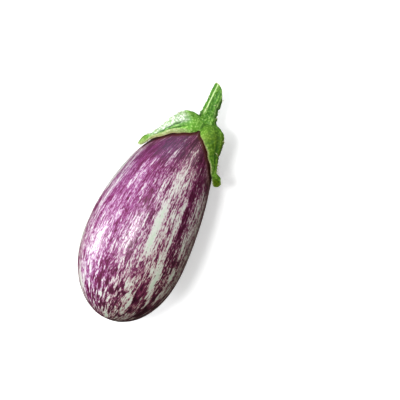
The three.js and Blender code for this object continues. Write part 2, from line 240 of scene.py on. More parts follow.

# %% [markdown]
# ## Where the skin is pale
# The stripes are places where the purple cells are missing and the cream flesh colour shows. The finest
# streaks are left to the material. The large pale blazes and the dark bands are listed one by one instead,
# each as one soft, long spot, because noise alone would never put them where this fruit has them. A few of
# them also stand in for the belly's highlights and for shade low down. The side that lies away gets spots of
# the same kind from a seeded lottery.

# %% Blazes and bands
# Angle round the fruit from its upper side, place from the blossom end (0) to the stem (1), half width in
# degrees, half length, strength, and drift: how many degrees it moves over the whole length.
BLAZES = [
    (13.5, 0.535, 4.6, 0.095, 3.4, -6),
    (15.5, 0.45, 3.6, 0.05, 1.8, -10),
    (36.5, 0.365, 5.2, 0.06, 3.2, -25),
    (40.5, 0.29, 4.0, 0.045, 2.4, -60),
    (35.5, 0.55, 3.4, 0.10, 1.6, 0),
    (2.5, 0.65, 3.0, 0.07, 1.3, -20),
    (3.0, 0.54, 5.0, 0.07, 0.8, 25),
    (22.0, 0.46, 7.0, 0.10, 0.8, 0),
    (24.0, 0.33, 6.0, 0.05, 0.6, 0),
    (19.0, 0.71, 10.0, 0.07, 0.95, 0),
    (15.0, 0.81, 3.0, 0.05, 0.5, 0),
    (-6.0, 0.825, 2.0, 0.035, 1.2, 0),
    (-8.0, 0.77, 4.0, 0.03, 0.9, 20),
    (-17.0, 0.80, 1.8, 0.03, 0.8, 0),
    (-27.0, 0.70, 2.2, 0.06, 0.5, 0),
    (25.0, 0.58, 5.0, 0.08, 0.7, 0),
    (5.0, 0.33, 4.0, 0.05, 1.5, -60),
    (13.5, 0.26, 4.5, 0.05, 1.7, -60),
    (18.0, 0.18, 6.5, 0.04, 1.6, -40),
    (-3.0, 0.09, 7.0, 0.04, 3.0, -80),
    (64.0, 0.30, 7.0, 0.035, 1.5, 0),
    (60.0, 0.375, 4.0, 0.03, 1.6, 0),
    (58.0, 0.58, 6.0, 0.10, 0.8, 0),
    (-36.0, 0.66, 2.5, 0.10, 0.9, 0),
    (-29.0, 0.60, 2.0, 0.14, 0.4, 10),
    (-16.0, 0.60, 2.5, 0.08, 0.8, 0),
    # This row and the next lie under the two highlights of the belly and make them whiter: pale skin and
    # painted highlight in one.
    (-40.0, 0.40, 9.0, 0.09, 0.7, 0),
    (-14.0, 0.41, 7.0, 0.09, 1.1, 0),
    (9.0, 0.42, 5.0, 0.07, 1.1, -20),
    # These two rows lighten dark marks under the same highlights: painted highlight as well.
    (-6.5, 0.545, 3.5, 0.03, 1.0, 0),
    (-4.5, 0.43, 3.5, 0.03, 0.6, 0),
    (34.0, 0.45, 5.0, 0.05, 0.9, 0),
    (22.0, 0.25, 5.0, 0.04, 0.8, 0),
    (72.0, 0.56, 7.0, 0.12, 1.3, 0),
    (60.0, 0.46, 6.0, 0.05, 0.7, 0),
    (-44.0, 0.29, 9.0, 0.08, 1.1, 0),
    (-58.0, 0.66, 8.0, 0.12, 1.1, 0),
    (-62.0, 0.40, 9.0, 0.16, 0.9, 0),
    (-60.0, 0.19, 12.0, 0.05, 1.8, 0),
    (34.0, 0.75, 5.0, 0.05, 0.6, 0),
    (46.0, 0.255, 3.5, 0.035, 2.2, -60),
    (70.0, 0.54, 6.0, 0.05, 0.5, 0),
]
# The rows at 24 to 76 degrees with places below 0.23 darken the blossom end and the lower right: dark pigment
# and painted shade in one.
BANDS = [
    (45.0, 0.64, 5.0, 0.20, 1.3, 6),
    (45.0, 0.40, 3.5, 0.10, 0.15, 0),
    (-13.0, 0.25, 8.0, 0.10, 0.35, -100),
    (-14.0, 0.18, 9.0, 0.05, 0.6, 0),
    (-14.0, 0.75, 8.0, 0.05, 0.9, 0),
    (-14.0, 0.56, 7.0, 0.05, 0.7, 0),
    (24.0, 0.05, 64.0, 0.045, 1.2, 0),
    (12.0, 0.15, 16.0, 0.05, 0.7, 0),
    (-32.0, 0.14, 14.0, 0.06, 1.0, 0),
    (-20.0, 0.84, 34.0, 0.08, 1.0, 0),
    (62.0, 0.78, 22.0, 0.10, 0.5, 0),
    (26.0, 0.27, 5.0, 0.08, 0.5, -40),
    (50.0, 0.24, 7.0, 0.08, 0.6, -60),
    (58.0, 0.13, 26.0, 0.06, 1.0, 0),
    (76.0, 0.22, 12.0, 0.08, 0.9, 0),
    (-45.0, 0.76, 16.0, 0.07, 0.5, 0),
    (36.0, 0.84, 12.0, 0.06, 1.3, 0),
    (12.0, 0.87, 9.0, 0.04, 0.8, 0),
    (56.0, 0.20, 10.0, 0.05, 0.8, 0),
]
print("placed by hand:", len(BLAZES), "blazes and", len(BANDS), "bands")

# %% Spots of colour
# Where the skin is violet rather than maroon, which is partly pigment and partly painted light, mostly on the
# window's side; where the neck and the upper left have a grey sheen, which is a painted reflection; and where
# the marks stand out less, or more if the strength is negative.
VIOLET = [
    (-36.0, 0.58, 56.0, 0.40, 1.0, 0),
    (-36.0, 0.22, 26.0, 0.12, 0.5, 0),
    (48.0, 0.66, 26.0, 0.22, 0.35, 0),
]
PAINTED_SHEEN_SPOTS = [(-24.0, 0.83, 26.0, 0.07, 1.0, 0), (-58.0, 0.70, 20.0, 0.12, 0.35, 0)]
CALM = [
    (-40.0, 0.62, 36.0, 0.22, 0.5, 0),
    (62.0, 0.45, 26.0, 0.40, -1.3, 0),
    (-15.0, 0.22, 34.0, 0.12, -1.5, 0),
    (0.0, 0.10, 90.0, 0.12, -1.5, 0),
    (0.0, 0.0, 999.0, 0.05, 1.6, 0),
]


def spots(rows):
    """The sum of all soft spots in a list, at every point of the skin."""
    total = np.zeros(len(SHARE))
    for angle, place, half_width, half_length, strength, drift in rows:
        beside = (1 - SHARE) - place
        away = (np.degrees(ANGLE) - angle - drift * beside + 180) % 360 - 180
        total += strength * np.exp(-(((away / half_width) ** 2 + (beside / half_length) ** 2) ** 1.5))
    return total


print("share of the skin that is violet:", (spots(VIOLET) > 0.5).mean().round(2))

# %% Store the spots on the skin
HIDDEN_SIDE, HIDDEN_SPOTS = (86, 284), 30  # the degrees round the fruit that no placed blaze covers
HIDDEN_SPREAD = 6  # how far such a spot may stray from its turn, in degrees
CORK_RADIUS = 3.2  # of the scar at the blossom end
COARSE_BELOW = 0.22, 0.42  # the share of the length over which fine marks give way to coarse ones

lottery = np.random.default_rng(5)
hidden_blazes = []
strayed = lottery.uniform(-HIDDEN_SPREAD, HIDDEN_SPREAD, HIDDEN_SPOTS)
for angle in np.linspace(*HIDDEN_SIDE, HIDDEN_SPOTS) + strayed:
    where, half_width = lottery.uniform(0.15, 0.75), lottery.uniform(2.5, 8)
    half_length, strength = lottery.uniform(0.06, 0.16), lottery.uniform(1, 3.2)
    hidden_blazes.append((angle, where, half_width, half_length, strength, 0))
from_axis = np.hypot(own[:, 1] - middle_at(own[:, 0]), own[:, 2])
store(
    fruit,
    {
        "place": np.stack([np.cos(ANGLE), np.sin(ANGLE), 1 - SHARE], -1),
        "pale": spots(BLAZES) + spots(hidden_blazes) - spots(BANDS),
        "scar": bell(from_axis, 0, CORK_RADIUS) * (SHARE > 0.8),
        "violet": spots(VIOLET),
        "painted_sheen": spots(PAINTED_SHEEN_SPOTS),
        "calm": spots(CALM),
        "low": 1 - smooth(1 - SHARE, *COARSE_BELOW),
    },
)
print("blazes on the side that lies away:", len(hidden_blazes))

# %% [markdown]
# ## Nodes by name
# A material is a tree of nodes. One helper adds a node, sets its inputs and links those that are given
# another node's output. `ramp` is a colour ramp: it turns a value from 0 to 1 into a colour by stops. An
# effect that more than one material uses becomes a node group, which is built once and placed like a node.

# %% Tools for nodes
def node(tree, kind, inputs=None, **settings):
    """Adds a node, and sets or links its inputs."""
    made = tree.nodes.new("ShaderNode" + kind)
    for name, value in settings.items():
        setattr(made, name, value)
    for name, value in (inputs or {}).items():
        if isinstance(value, bpy.types.NodeSocket):
            tree.links.new(value, made.inputs[name])
        else:
            made.inputs[name].default_value = value
    return made


def attribute(tree, name, output="Fac"):
    return node(tree, "Attribute", attribute_name=name).outputs[output]


def arithmetic(tree, operation, a, b, c=0.0, clamp=False):
    return node(tree, "Math", {0: a, 1: b, 2: c}, operation=operation, use_clamp=clamp).outputs[0]


print("node groups so far:", len(bpy.data.node_groups))


# %% Tools for colours
def srgb(red, green, blue):
    """A colour as a painter mixes it, 0 to 255, as the linear values that the renderer wants."""
    parts = [v / 255 for v in (red, green, blue)]
    return [*(v / 12.92 if v < 0.04045 else ((v + 0.055) / 1.055) ** 2.4 for v in parts), 1.0]


def ramp(tree, value, stops):
    """A colour for each value, from stops of (place, colour)."""
    made = node(tree, "ValToRGB", {"Fac": value})
    elements = made.color_ramp.elements
    for _ in stops[2:]:
        elements.new(0.5)
    for element, (at, colour) in zip(elements, stops):
        element.position = at
        element.color = colour
    return made.outputs["Color"]


def blend_colours(tree, share, a, b):
    """Colour a where the share is 0 and colour b where it is 1."""
    made = node(tree, "Mix", {0: share, 6: a, 7: b}, data_type="RGBA")
    return made.outputs[2]


print("mid grey in linear values:", [round(part, 3) for part in srgb(128, 128, 128)])


# %% Tools for materials and groups
def new_material(name, **constants):
    """A material with one Principled BSDF, whose sockets take the given constants."""
    material = bpy.data.materials.new(name)
    material.use_nodes = True
    tree = material.node_tree
    tree.nodes.clear()
    shader = node(tree, "BsdfPrincipled", {n.replace("_", " "): v for n, v in constants.items()})
    output = node(tree, "OutputMaterial")
    tree.links.new(shader.outputs["BSDF"], output.inputs["Surface"])
    return material, tree, shader


def add_bump(tree, shader, height, distance, strength):
    """Shades the surface as if it rose by that distance where the height is 1."""
    relief = node(tree, "Bump", {"Height": height, "Distance": distance, "Strength": strength})
    tree.links.new(relief.outputs["Normal"], shader.inputs["Normal"])


def new_group(name, inputs, outputs):
    """An empty shader node group with named inputs and outputs."""
    group = bpy.data.node_groups.new(name, "ShaderNodeTree")
    for label, kind in inputs.items():
        group.interface.new_socket(label, in_out="INPUT", socket_type="NodeSocket" + kind)
    for label, kind in outputs.items():
        group.interface.new_socket(label, in_out="OUTPUT", socket_type="NodeSocket" + kind)
    return group, group.nodes.new("NodeGroupInput").outputs, group.nodes.new("NodeGroupOutput").inputs


print("materials that came with the frame:", len(bpy.data.materials))

# %% [markdown]
# ## Streaks along the growth
# The cells of the skin and of the stem line up with the growth, so the marks on both are long and narrow. The
# group below makes them from one noise: `Place` is a point on a roll of radius 1 with its length along z, and
# stretching it by `Around` and `Along` sets how fine the marks are both ways. Noise on a roll meets itself
# without a seam, and the streaks draw together at both ends, as real ones do.

# %% The streaks group
streaks, given, result = new_group(
    "growth streaks",
    {"Place": "Vector", "Around": "Float", "Along": "Float", "Detail": "Float", "Roughness": "Float"},
    {"Streaks": "Float"},
)
stretch = node(streaks, "CombineXYZ", {"X": given["Around"], "Y": given["Around"], "Z": given["Along"]})
stretched = node(
    streaks, "VectorMath", {0: given["Place"], 1: stretch.outputs["Vector"]}, operation="MULTIPLY"
)
marks = node(
    streaks,
    "TexNoise",
    {
        "Vector": stretched.outputs["Vector"],
        "Scale": 1.0,
        "Detail": given["Detail"],
        "Roughness": given["Roughness"],
    },
)
streaks.links.new(marks.outputs["Fac"], result["Streaks"])


def streaks_in(tree, place, around, along, detail=2.0, roughness=0.5):
    """Places the group in a material. The value swings round 0, by about a third each way."""
    made = node(tree, "Group", node_tree=streaks)
    tree.links.new(place, made.inputs["Place"])
    for name, value in zip(("Around", "Along", "Detail", "Roughness"), (around, along, detail, roughness)):
        made.inputs[name].default_value = value
    return arithmetic(tree, "SUBTRACT", made.outputs["Streaks"], 0.5)


print("nodes in the streaks group:", len(streaks.nodes))

# %% [markdown]
# ## How much pigment the skin has
# Purple pigment lies in some cells of the skin and not in others. The material adds up streaks of five sizes
# and the spots stored above into one value, the level of pigment. A single noise would give marks of one
# size, as on cloth, while real streaks are broken at every scale. Towards the blossom end the fine marks give
# way to coarse, blotchy ones, and a few pores stay dark even inside a blaze.

# %% Five sizes of streaks
# How often each kind of streak repeats round the fruit and along it.
BROAD, LONG, FINE, SPECKS, COARSE = (5, 3.5), (14, 6.5), (35, 23), (62, 92), (18, 27)
WANDER, WANDER_SIZE = (0.09, 0.09, 0.03), 9.0  # how far the streaks stray from straight lines

skin_finish, tree, shader = new_material(
    "striped_skin", IOR=1.42, Specular_IOR_Level=0.42, Coat_Weight=0.14, Coat_Roughness=0.15
)
place_out = attribute(tree, "place", "Vector")
wander = node(tree, "TexNoise", {"Vector": place_out, "Scale": WANDER_SIZE, "Detail": 2.0})
offset = node(
    tree, "VectorMath", {0: wander.outputs["Color"], 1: (0.5, 0.5, 0.5)}, operation="SUBTRACT"
)
shifted = node(
    tree,
    "VectorMath",
    {0: offset.outputs["Vector"], 1: WANDER, 2: place_out},
    operation="MULTIPLY_ADD",
).outputs["Vector"]
broad, long_marks, fine_marks, specks, coarse_marks = (
    streaks_in(tree, shifted, *kind) for kind in (BROAD, LONG, FINE, SPECKS, COARSE)
)
print("nodes so far:", len(tree.nodes))

# %% Level of pigment
BROAD_STRENGTH, LONG_STRENGTH = 2.5, 3.5
FINE_STRENGTH, SPECK_STRENGTH, COARSE_STRENGTH = (6.4, 3.2), (6.0, 4.0), (0.0, 7.5)  # above, and low down
CALMED = -0.45  # what one unit of calm takes from the marks

low = attribute(tree, "low")
marks = arithmetic(tree, "MULTIPLY", long_marks, LONG_STRENGTH)
for texture, (above, below) in (
    (fine_marks, FINE_STRENGTH),
    (specks, SPECK_STRENGTH),
    (coarse_marks, COARSE_STRENGTH),
):
    strength = arithmetic(tree, "MULTIPLY_ADD", low, below - above, above)
    marks = arithmetic(tree, "MULTIPLY_ADD", texture, strength, marks)
stands_out = arithmetic(tree, "MULTIPLY_ADD", attribute(tree, "calm"), CALMED, 1.0)
cover = arithmetic(tree, "MULTIPLY_ADD", broad, BROAD_STRENGTH, 1.0)
cover = arithmetic(tree, "MULTIPLY_ADD", marks, stands_out, cover)
cover = arithmetic(tree, "SUBTRACT", cover, attribute(tree, "pale"))
pores = node(tree, "MapRange", {"Value": specks, "From Min": 0.1, "From Max": 0.24, "To Max": 1.6})
cover = arithmetic(tree, "ADD", cover, pores.outputs["Result"])
level = node(tree, "MapRange", {"Value": cover, "From Min": -3.0, "From Max": 2.5}).outputs["Result"]
print("nodes so far:", len(tree.nodes))

# %% [markdown]
# ## Colours of the skin
# A colour ramp reads the level: cream, with a hint of green, where there is no pigment, pink where it is
# thin, and then magenta and a deep purple. So every pale mark has a soft pink edge. There are two ramps,
# violet and maroon. The change from one to the other is partly the pigment and partly painted light: violet
# and brighter on the window's side, maroon and darker in the shade on the other. The painted sheen of the
# neck, the cork of the scar and the brown line of stain and painted shade beside the calyx are laid over
# them.

# %% Two ramps of pigment
maroon = ramp(
    tree,
    level,
    [
        (0.0, srgb(194, 210, 186)),
        (0.28, srgb(211, 214, 200)),
        (0.46, srgb(202, 198, 184)),
        (0.565, srgb(174, 137, 133)),
        (0.67, srgb(124, 55, 80)),
        (0.81, srgb(86, 26, 54)),
        (1.0, srgb(50, 14, 28)),
    ],
)
violet = ramp(
    tree,
    level,
    [
        (0.0, srgb(204, 216, 202)),
        (0.28, srgb(222, 218, 220)),
        (0.46, srgb(204, 190, 202)),
        (0.575, srgb(178, 128, 170)),
        (0.69, srgb(142, 70, 128)),
        (0.82, srgb(120, 40, 92)),
        (1.0, srgb(84, 12, 52)),
    ],
)
# Violet on the window's side and maroon on the shaded one: partly pigment and partly painted light.
pigment = blend_colours(tree, attribute(tree, "violet"), maroon, violet)
print("nodes so far:", len(tree.nodes))

# %% Painted sheen, cork, and stain with painted shade
PAINTED_SHEEN_GREY, STAIN_AND_SHADE = srgb(80, 62, 88), srgb(78, 36, 30)
STAIN_AND_SHADE_STRENGTH = 0.9

# The grey of the neck and of the upper left is a painted sheen: a reflection laid into the colour, broken up
# by the fine marks.
patchy = arithmetic(tree, "MULTIPLY_ADD", fine_marks, 2.4, 0.56, clamp=True)
painted_sheen = arithmetic(tree, "MULTIPLY", attribute(tree, "painted_sheen"), patchy)
pigment = blend_colours(tree, painted_sheen, pigment, PAINTED_SHEEN_GREY)
cork_grain = arithmetic(tree, "ADD", specks, 0.5)
cork = ramp(tree, cork_grain, [(0.3, srgb(120, 90, 55)), (0.7, srgb(170, 140, 95))])
scar_out = attribute(tree, "scar")
colour = blend_colours(tree, scar_out, pigment, cork)
# The brown line beside the calyx is a stain and painted shade in one.
stained_and_shaded = arithmetic(tree, "MULTIPLY", attribute(tree, "stain_and_shade"), STAIN_AND_SHADE_STRENGTH)
colour = blend_colours(tree, stained_and_shaded, colour, STAIN_AND_SHADE)
tree.links.new(colour, shader.inputs["Base Color"])
print("nodes so far:", len(tree.nodes))

# %% [markdown]
# ## Gloss of the skin
# An eggplant shines because of its natural wax, which lies over the skin like a thin clear coat. The coat's
# weight and roughness are the same all over, so they are set on the shader's own sockets. Under it the
# roughness varies with the specks, the cork is dull, and a very low bump follows the fine streaks.

# %% Gloss of the skin
gloss = arithmetic(tree, "MULTIPLY_ADD", specks, 0.25, 0.3)
gloss = arithmetic(tree, "MULTIPLY_ADD", scar_out, 0.4, gloss)
tree.links.new(gloss, shader.inputs["Roughness"])
add_bump(tree, shader, fine_marks, 0.3 * MM, 0.35)
fruit.data.materials.append(skin_finish)
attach(fruit, "root")
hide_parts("fruit")
print("nodes in the skin's material:", len(tree.nodes))

# %% [markdown]
# ## The lobes of the calyx
# The calyx is the green cap that once was the flower's cup. It has five pointed lobes that hug the fruit,
# each with a middle rib, a thick rolled margin and wrinkled flesh between its veins. Each lobe is worked out
# as a sheet laid on the skin: `u` runs along it and `v` across it, once for its upper and once for its lower
# face. That way each lobe follows the fruit whatever its size, and veins can be drawn in the lobe's terms.

# %% Sizes of the calyx
GAP = 0.5  # between the calyx and the skin
# Degrees round the fruit for `angle`, where a lobe leaves the stem, and `tip_angle`, where it ends; `curl`
# and `twist` turn its tip. Millimetres for `reach` over the skin, half `width`, `hump`, the height of its
# arch, and `lift` of the tip. `wave` keeps the veins of two lobes from being alike. Then come the rolled
# margin on its two sides, the creases behind it, the fold beside the middle rib, the hollow and the swelling
# (`bulb`) of the spoon-shaped tip, and how blistered the flesh is.
LOBE_WORDS = (
    "angle tip_angle reach width hump lift curl twist wave low_lip high_lip crease fold spoon bulb blisters"
)
LOBE_ROWS = [
    (53, 87, 51, 11.5, 5.4, 0.3, 10, 80, 0.5, 0.25, 0.3, 0.25, 1.2, 1.6, 1.2, 1),
    (128, 134, 41, 10.5, 5, 0.5, 80, -25, 1.9, 0.4, 0.3, 0.3, 0.5, 0.6, 0.9, 0.8),
    (184, 178, 35, 11, 3.4, 0, 0, 0, 3.1, 0.3, 0.4, 0.3, 0.3, 0, 0.4, 0.6),
    (238, 232, 42, 11, 5, 0.4, 60, 20, 4.4, 0.3, 0.4, 0.3, 0.5, 0.5, 0.9, 0.8),
    (299, 280, 44, 13.3, 7.8, 0.4, 60, -24, 5, 0.4, 1.2, 1.1, 0.2, 0.3, 1.1, 0.9),
]
LOBES = [dict(zip(LOBE_WORDS.split(), row)) for row in LOBE_ROWS]
for lobe in LOBES:
    for word in ("angle", "tip_angle", "curl", "twist"):
        lobe[word] = math.radians(lobe[word])
START, SHOULDER, RISE, FALL = -3.0, 13.0, 8.5, 14.0  # where a lobe starts, and where its arch is highest
NECK_WIDTH, TIP_WIDTH, TAPER = 7.5, 1.8, 1.05  # half widths at both ends, and how straight it narrows
BULGES = 0.83, 0.95  # the shares of a lobe between which its tip swells into a spoon
THICK, EDGE, LEAST = 2.3, 1.3, 0.8  # thickness in the middle and at the margin, and the thinnest place
TWIST_SPAN, THINNED, CURL_RADIUS = (0.78, 0.93), 0.75, 4.0
TIP_ROUND = 5.0  # the last stretch, over which the tip is rounded off
BOSS_FOOT, BOSS_HEIGHT = 13.0, 4.6  # the mound that joins the lobes under the stem
print("lobes:", len(LOBES), "reaching, in mm:", [lobe["reach"] for lobe in LOBES])


# %% Points over the skin
def over_skin(along, angle, height):
    """Points `height` above the skin, `along` it from the stem's middle in the direction `angle`."""
    step, turn, cap = 0.5, 0.05, 4.0
    x = x_along(np.maximum(along, step))
    ahead = skin(x_along(np.maximum(along, step) + step), angle) - skin(x, angle)
    aside = skin(x, angle + turn) - skin(x, angle - turn)
    outward = unit(np.cross(ahead, aside))
    outward = unit(mix(X_AXIS, outward, smooth(along, 0, cap)[..., None]))
    return skin(x_along(along), angle) + outward * height[..., None]


def half_width(lobe, t):
    """Half the width of a lobe, t along it."""
    share = np.clip((t - SHOULDER) / (lobe["reach"] - SHOULDER), 0, 1)
    near = mix(NECK_WIDTH, lobe["width"], smooth(t, 0, SHOULDER))
    far = (lobe["width"] - TIP_WIDTH) * (1 - share) ** TAPER + TIP_WIDTH
    return np.where(t < SHOULDER, near, far + lobe["bulb"] * smooth(share, *BULGES))


print("half widths of the first lobe, in mm:", half_width(LOBES[0], np.linspace(0, 50, 6)).round(1))

# %% [markdown]
# ### Relief of a lobe
# The height of the upper face over the lower one adds up: an arch beside the stem, the flesh that thins
# towards the margin, the middle rib, side veins that leave it at a slant, puckers between them, blisters,
# and the rolled margin with a groove behind it. Sculpting could do the same by hand, but a sum of named
# forms can be tuned one at a time, and it fits each lobe whatever its size.

# %% Veins and blisters
VEIN_PITCH, VEIN_SLANT, VEIN_SHARPNESS = 6.2, 0.9, 6
BLISTER_SIZE, BLISTER_HEIGHT = 2.9, 0.75


def side_veins(lobe, t, across):
    """1 on a side vein, 0 between them. The two halves of a lobe have theirs out of step."""
    phase = (t - VEIN_SLANT * np.abs(across)) / VEIN_PITCH + np.where(across > 0, 0.5, 0) + lobe["wave"]
    return (0.5 + 0.5 * np.cos(2 * np.pi * phase)) ** VEIN_SHARPNESS


def blisters_at(lobe, t, across):
    """Round cushions with creases between them, in two sizes."""
    spread = np.stack([t, across, np.full_like(t, 7 * lobe["angle"])], -1)
    large, small = lumps(spread, BLISTER_SIZE, 3), lumps(spread, BLISTER_SIZE / 2, 4)
    return BLISTER_HEIGHT * lobe["blisters"] * (np.abs(large) + 0.5 * np.abs(small) - 0.35)


run = np.linspace(10, 16, 5)
print("side veins along a lobe:", side_veins(LOBES[0], run, 0 * run).round(2))

# %% Creases and fold
CREASE_PLACES, CREASE_SPREAD = (0.78, 0.58), 0.06  # as shares of the half width
CREASES_START, CREASES_END = (0.25, 0.5), (0.8, 0.95)  # as shares of the length
FOLD_PLACE, FOLD_SPREAD = -0.2, 0.24
FOLD_MIDDLE, FOLD_LENGTH = 0.5, 0.28


def creases_at(share, outer):
    """1 in the creases behind the margin, at a share of the length and of the half width."""
    across = sum(bell(outer, place, CREASE_SPREAD) for place in CREASE_PLACES)
    return across * smooth(share, *CREASES_START) * (1 - smooth(share, *CREASES_END))


def fold_at(share, side):
    """1 in the fold beside the middle rib."""
    return bell(side, FOLD_PLACE, FOLD_SPREAD) * bell(share, FOLD_MIDDLE, FOLD_LENGTH)


print("creases from the rib to the margin:", creases_at(0.6, np.linspace(0, 1, 6)).round(2))

# %% Height of a lobe
RIB, RIB_WIDTH = 0.9, 1.4
VEIN_HEIGHT, VEINS_START = 0.3, (0.05, 0.2)  # the veins rise beside the rib, over a share of the half width
PUCKER, PUCKER_PITCH = 0.35, 4.6
BLISTERS_START = 5, 12  # in millimetres along the lobe
RUFFLE, RUFFLE_PITCH = 0.45, 11.0  # the wave of the margin
RUFFLE_RISE, RUFFLE_FALL = 8, 6
LIP_PLACE, LIP_SPREAD = 0.93, 0.09  # the rolled margin, as shares of the half width
LIP_START, SPOON_START = (0.2, 0.5), (0.82, 0.97)  # as shares of the length


def body_at(lobe, t, side):
    """Height of the upper face over the lower one, t along a lobe, at side from -1 to 1 across it."""
    q = side * side
    outer = np.abs(side)
    across = side * half_width(lobe, t)
    share = t / lobe["reach"]
    arch = lobe["hump"] * bell(t, SHOULDER, np.where(t < SHOULDER, RISE, FALL)) * (1 - q) ** 0.7
    rib = RIB * bell(across, 0, RIB_WIDTH)
    puckers = PUCKER * np.sin(2 * np.pi * t / PUCKER_PITCH - 4 * outer) * np.sqrt(q) * (1 - q)
    veins = VEIN_HEIGHT * side_veins(lobe, t, across) * smooth(outer, *VEINS_START) * (1 - q)
    blisters = blisters_at(lobe, t, across) * (1 - q * q) * smooth(t, *BLISTERS_START)
    lip = np.where(side > 0, lobe["high_lip"], lobe["low_lip"]) * smooth(share, *LIP_START)
    rolled = lip * bell(outer, LIP_PLACE, LIP_SPREAD)
    creases = lobe["crease"] * creases_at(share, outer)
    fold = lobe["fold"] * fold_at(share, side)
    hollow = lobe["spoon"] * (1 - q) ** 2 * smooth(share, *SPOON_START)
    thinning = mix(1, THINNED, smooth(share, TWIST_SPAN[0], 1))
    detail = rib + puckers + veins + blisters + rolled - creases - fold - hollow
    return arch + np.maximum(mix(THICK, EDGE, q) + detail, LEAST) * thinning


def ruffle_at(lobe, t, side):
    """How far the margin waves up from the skin."""
    wave = 1 + np.sin(2 * np.pi * t / RUFFLE_PITCH + lobe["wave"] + side)
    reach = lobe["reach"]
    between = smooth(t, SHOULDER, SHOULDER + RUFFLE_RISE) * (1 - smooth(t, reach - RUFFLE_FALL, reach))
    return RUFFLE * side**4 * between * wave


print("height of the first lobe along its rib, in mm:", body_at(LOBES[0], 3 * run - 20, 0 * run).round(1))

# %% Points of a lobe
RAGGED, RAGGED_SIZE = 0.035, 3.0  # how ragged the margin is, as a share of the half width
THINNEST_TIP = 0.02


def lobe_points(lobe, u, v, top):
    """Points of a lobe's upper face, where top is 1, or of its lower one, and what they are like."""
    run = START + u * (lobe["reach"] - START + CURL_RADIUS * lobe["curl"])
    turn = np.maximum(0, run - lobe["reach"]) / CURL_RADIUS
    lift = lobe["lift"] * smooth(run, 0.5 * lobe["reach"], lobe["reach"])
    t = np.minimum(run, lobe["reach"]) + CURL_RADIUS * np.sin(turn)
    side = 2 * v - 1
    margin_lumps = lumps(np.stack([run, 5 * side, 0 * run + lobe["wave"]], -1), RAGGED_SIZE, 8)
    ragged = 1 + RAGGED * margin_lumps
    left = np.clip((lobe["reach"] + CURL_RADIUS * lobe["curl"] - run) / TIP_ROUND, THINNEST_TIP, 1)
    rounded = np.sqrt(left * (2 - left))
    full = half_width(lobe, run) * ragged
    width = full * rounded
    thickness = ruffle_at(lobe, run, side) + top * body_at(lobe, run, side)
    tilt = lobe["twist"] * smooth(run / lobe["reach"], *TWIST_SPAN)
    aside = side * width * np.cos(tilt) - thickness * np.sin(tilt)
    off = side * width * np.sin(tilt) + thickness * np.cos(tilt) + np.abs(full * np.sin(tilt))
    reached = t - off * np.sin(turn)
    heading = mix(lobe["angle"], lobe["tip_angle"], (np.maximum(0, reached) / lobe["reach"]) ** 2)
    girth = np.sign(reached) * radius_at(x_along(np.abs(reached)))
    angle = heading + np.arctan2(aside, girth)
    height = GAP + lift + CURL_RADIUS * (1 - np.cos(turn)) + off * np.cos(turn)
    return over_skin(np.hypot(reached, aside), angle, height), run, side


tips = [lobe_points(lobe, np.ones(1), np.full(1, 0.5), 1)[0][0] for lobe in LOBES]
print("tips of the lobes, from the blossom end in mm:", [round(tip[0], 1) for tip in tips])

# %% [markdown]
# ## One calyx from many sheets
# The five sheets and the mound where they meet overlap. A voxel remesh turns them into one closed surface,
# as if they had grown together, and the smoothing after it takes away the steps of the voxels. The remesh
# forgets which point belonged to which lobe, so each new point asks its nearest old one.

# %% A closed sheet
def closed_sheet(rows, columns):
    """Faces of a closed sheet whose lower face comes first and whose upper face follows."""
    side = rows * columns
    flat = grid_faces(rows, columns, closed=False)
    faces = [tuple(reversed(f)) for f in flat] + [tuple(i + side for i in f) for f in flat]
    rim = list(range(columns - 1)) + [i * columns + columns - 1 for i in range(rows - 1)]
    rim += [(rows - 1) * columns + j for j in range(columns - 1, 0, -1)]
    rim += [i * columns for i in range(rows - 1, 0, -1)]
    for a, b in zip(rim, rim[1:] + rim[:1]):
        faces.append((a, b, b + side, a + side))
    return faces


print("faces of a closed sheet of 3 by 3 points:", len(closed_sheet(3, 3)))

# %% Five lobes
LOBE_ROWS_ALONG, LOBE_COLUMNS = 150, 64

points, faces, facts = [], [], []
steps = np.linspace(0, 1, LOBE_ROWS_ALONG), np.linspace(0, 1, LOBE_COLUMNS)
u, v = (a.ravel() for a in np.meshgrid(*steps, indexing="ij"))
for number, lobe in enumerate(LOBES):
    for upper in (0, 1):
        placed, run, side = lobe_points(lobe, u, v, upper)
        facts.append(np.stack([run / lobe["reach"], side, 0 * u + upper, 0 * u + number], -1))
        points.append(placed)
    first = sum(len(p) for p in points[:-2])
    faces += [tuple(i + first for i in f) for f in closed_sheet(LOBE_ROWS_ALONG, LOBE_COLUMNS)]
print("points on the lobes:", sum(len(p) for p in points))

# %% The mound under the stem
BOSS_RINGS, BOSS_SIDES = 16, 90

ring = np.linspace(0, 1, BOSS_RINGS)
section = [(a * BOSS_FOOT, GAP) for a in ring]
section += [(a * BOSS_FOOT, GAP + EDGE + (BOSS_HEIGHT - EDGE) * (1 - a * a)) for a in ring[::-1]]
along, height = (np.repeat(c, BOSS_SIDES) for c in np.array(section).T)
around = np.tile(np.linspace(0, 2 * np.pi, BOSS_SIDES, endpoint=False), len(section))
boss = over_skin(along, around, height)
first = sum(len(p) for p in points)
points.append(boss)
facts.append(np.stack([0 * along, 0 * along, 0 * along + 1, 0 * along - 1], -1))
faces += [tuple(i + first for i in f) for f in grid_faces(len(section), BOSS_SIDES, closed=True)]
points, facts = np.concatenate(points), np.concatenate(facts)
calyx = new_piece("calyx_cap", lay_down(points), faces)
print("calyx before the remesh:", len(points), "points")


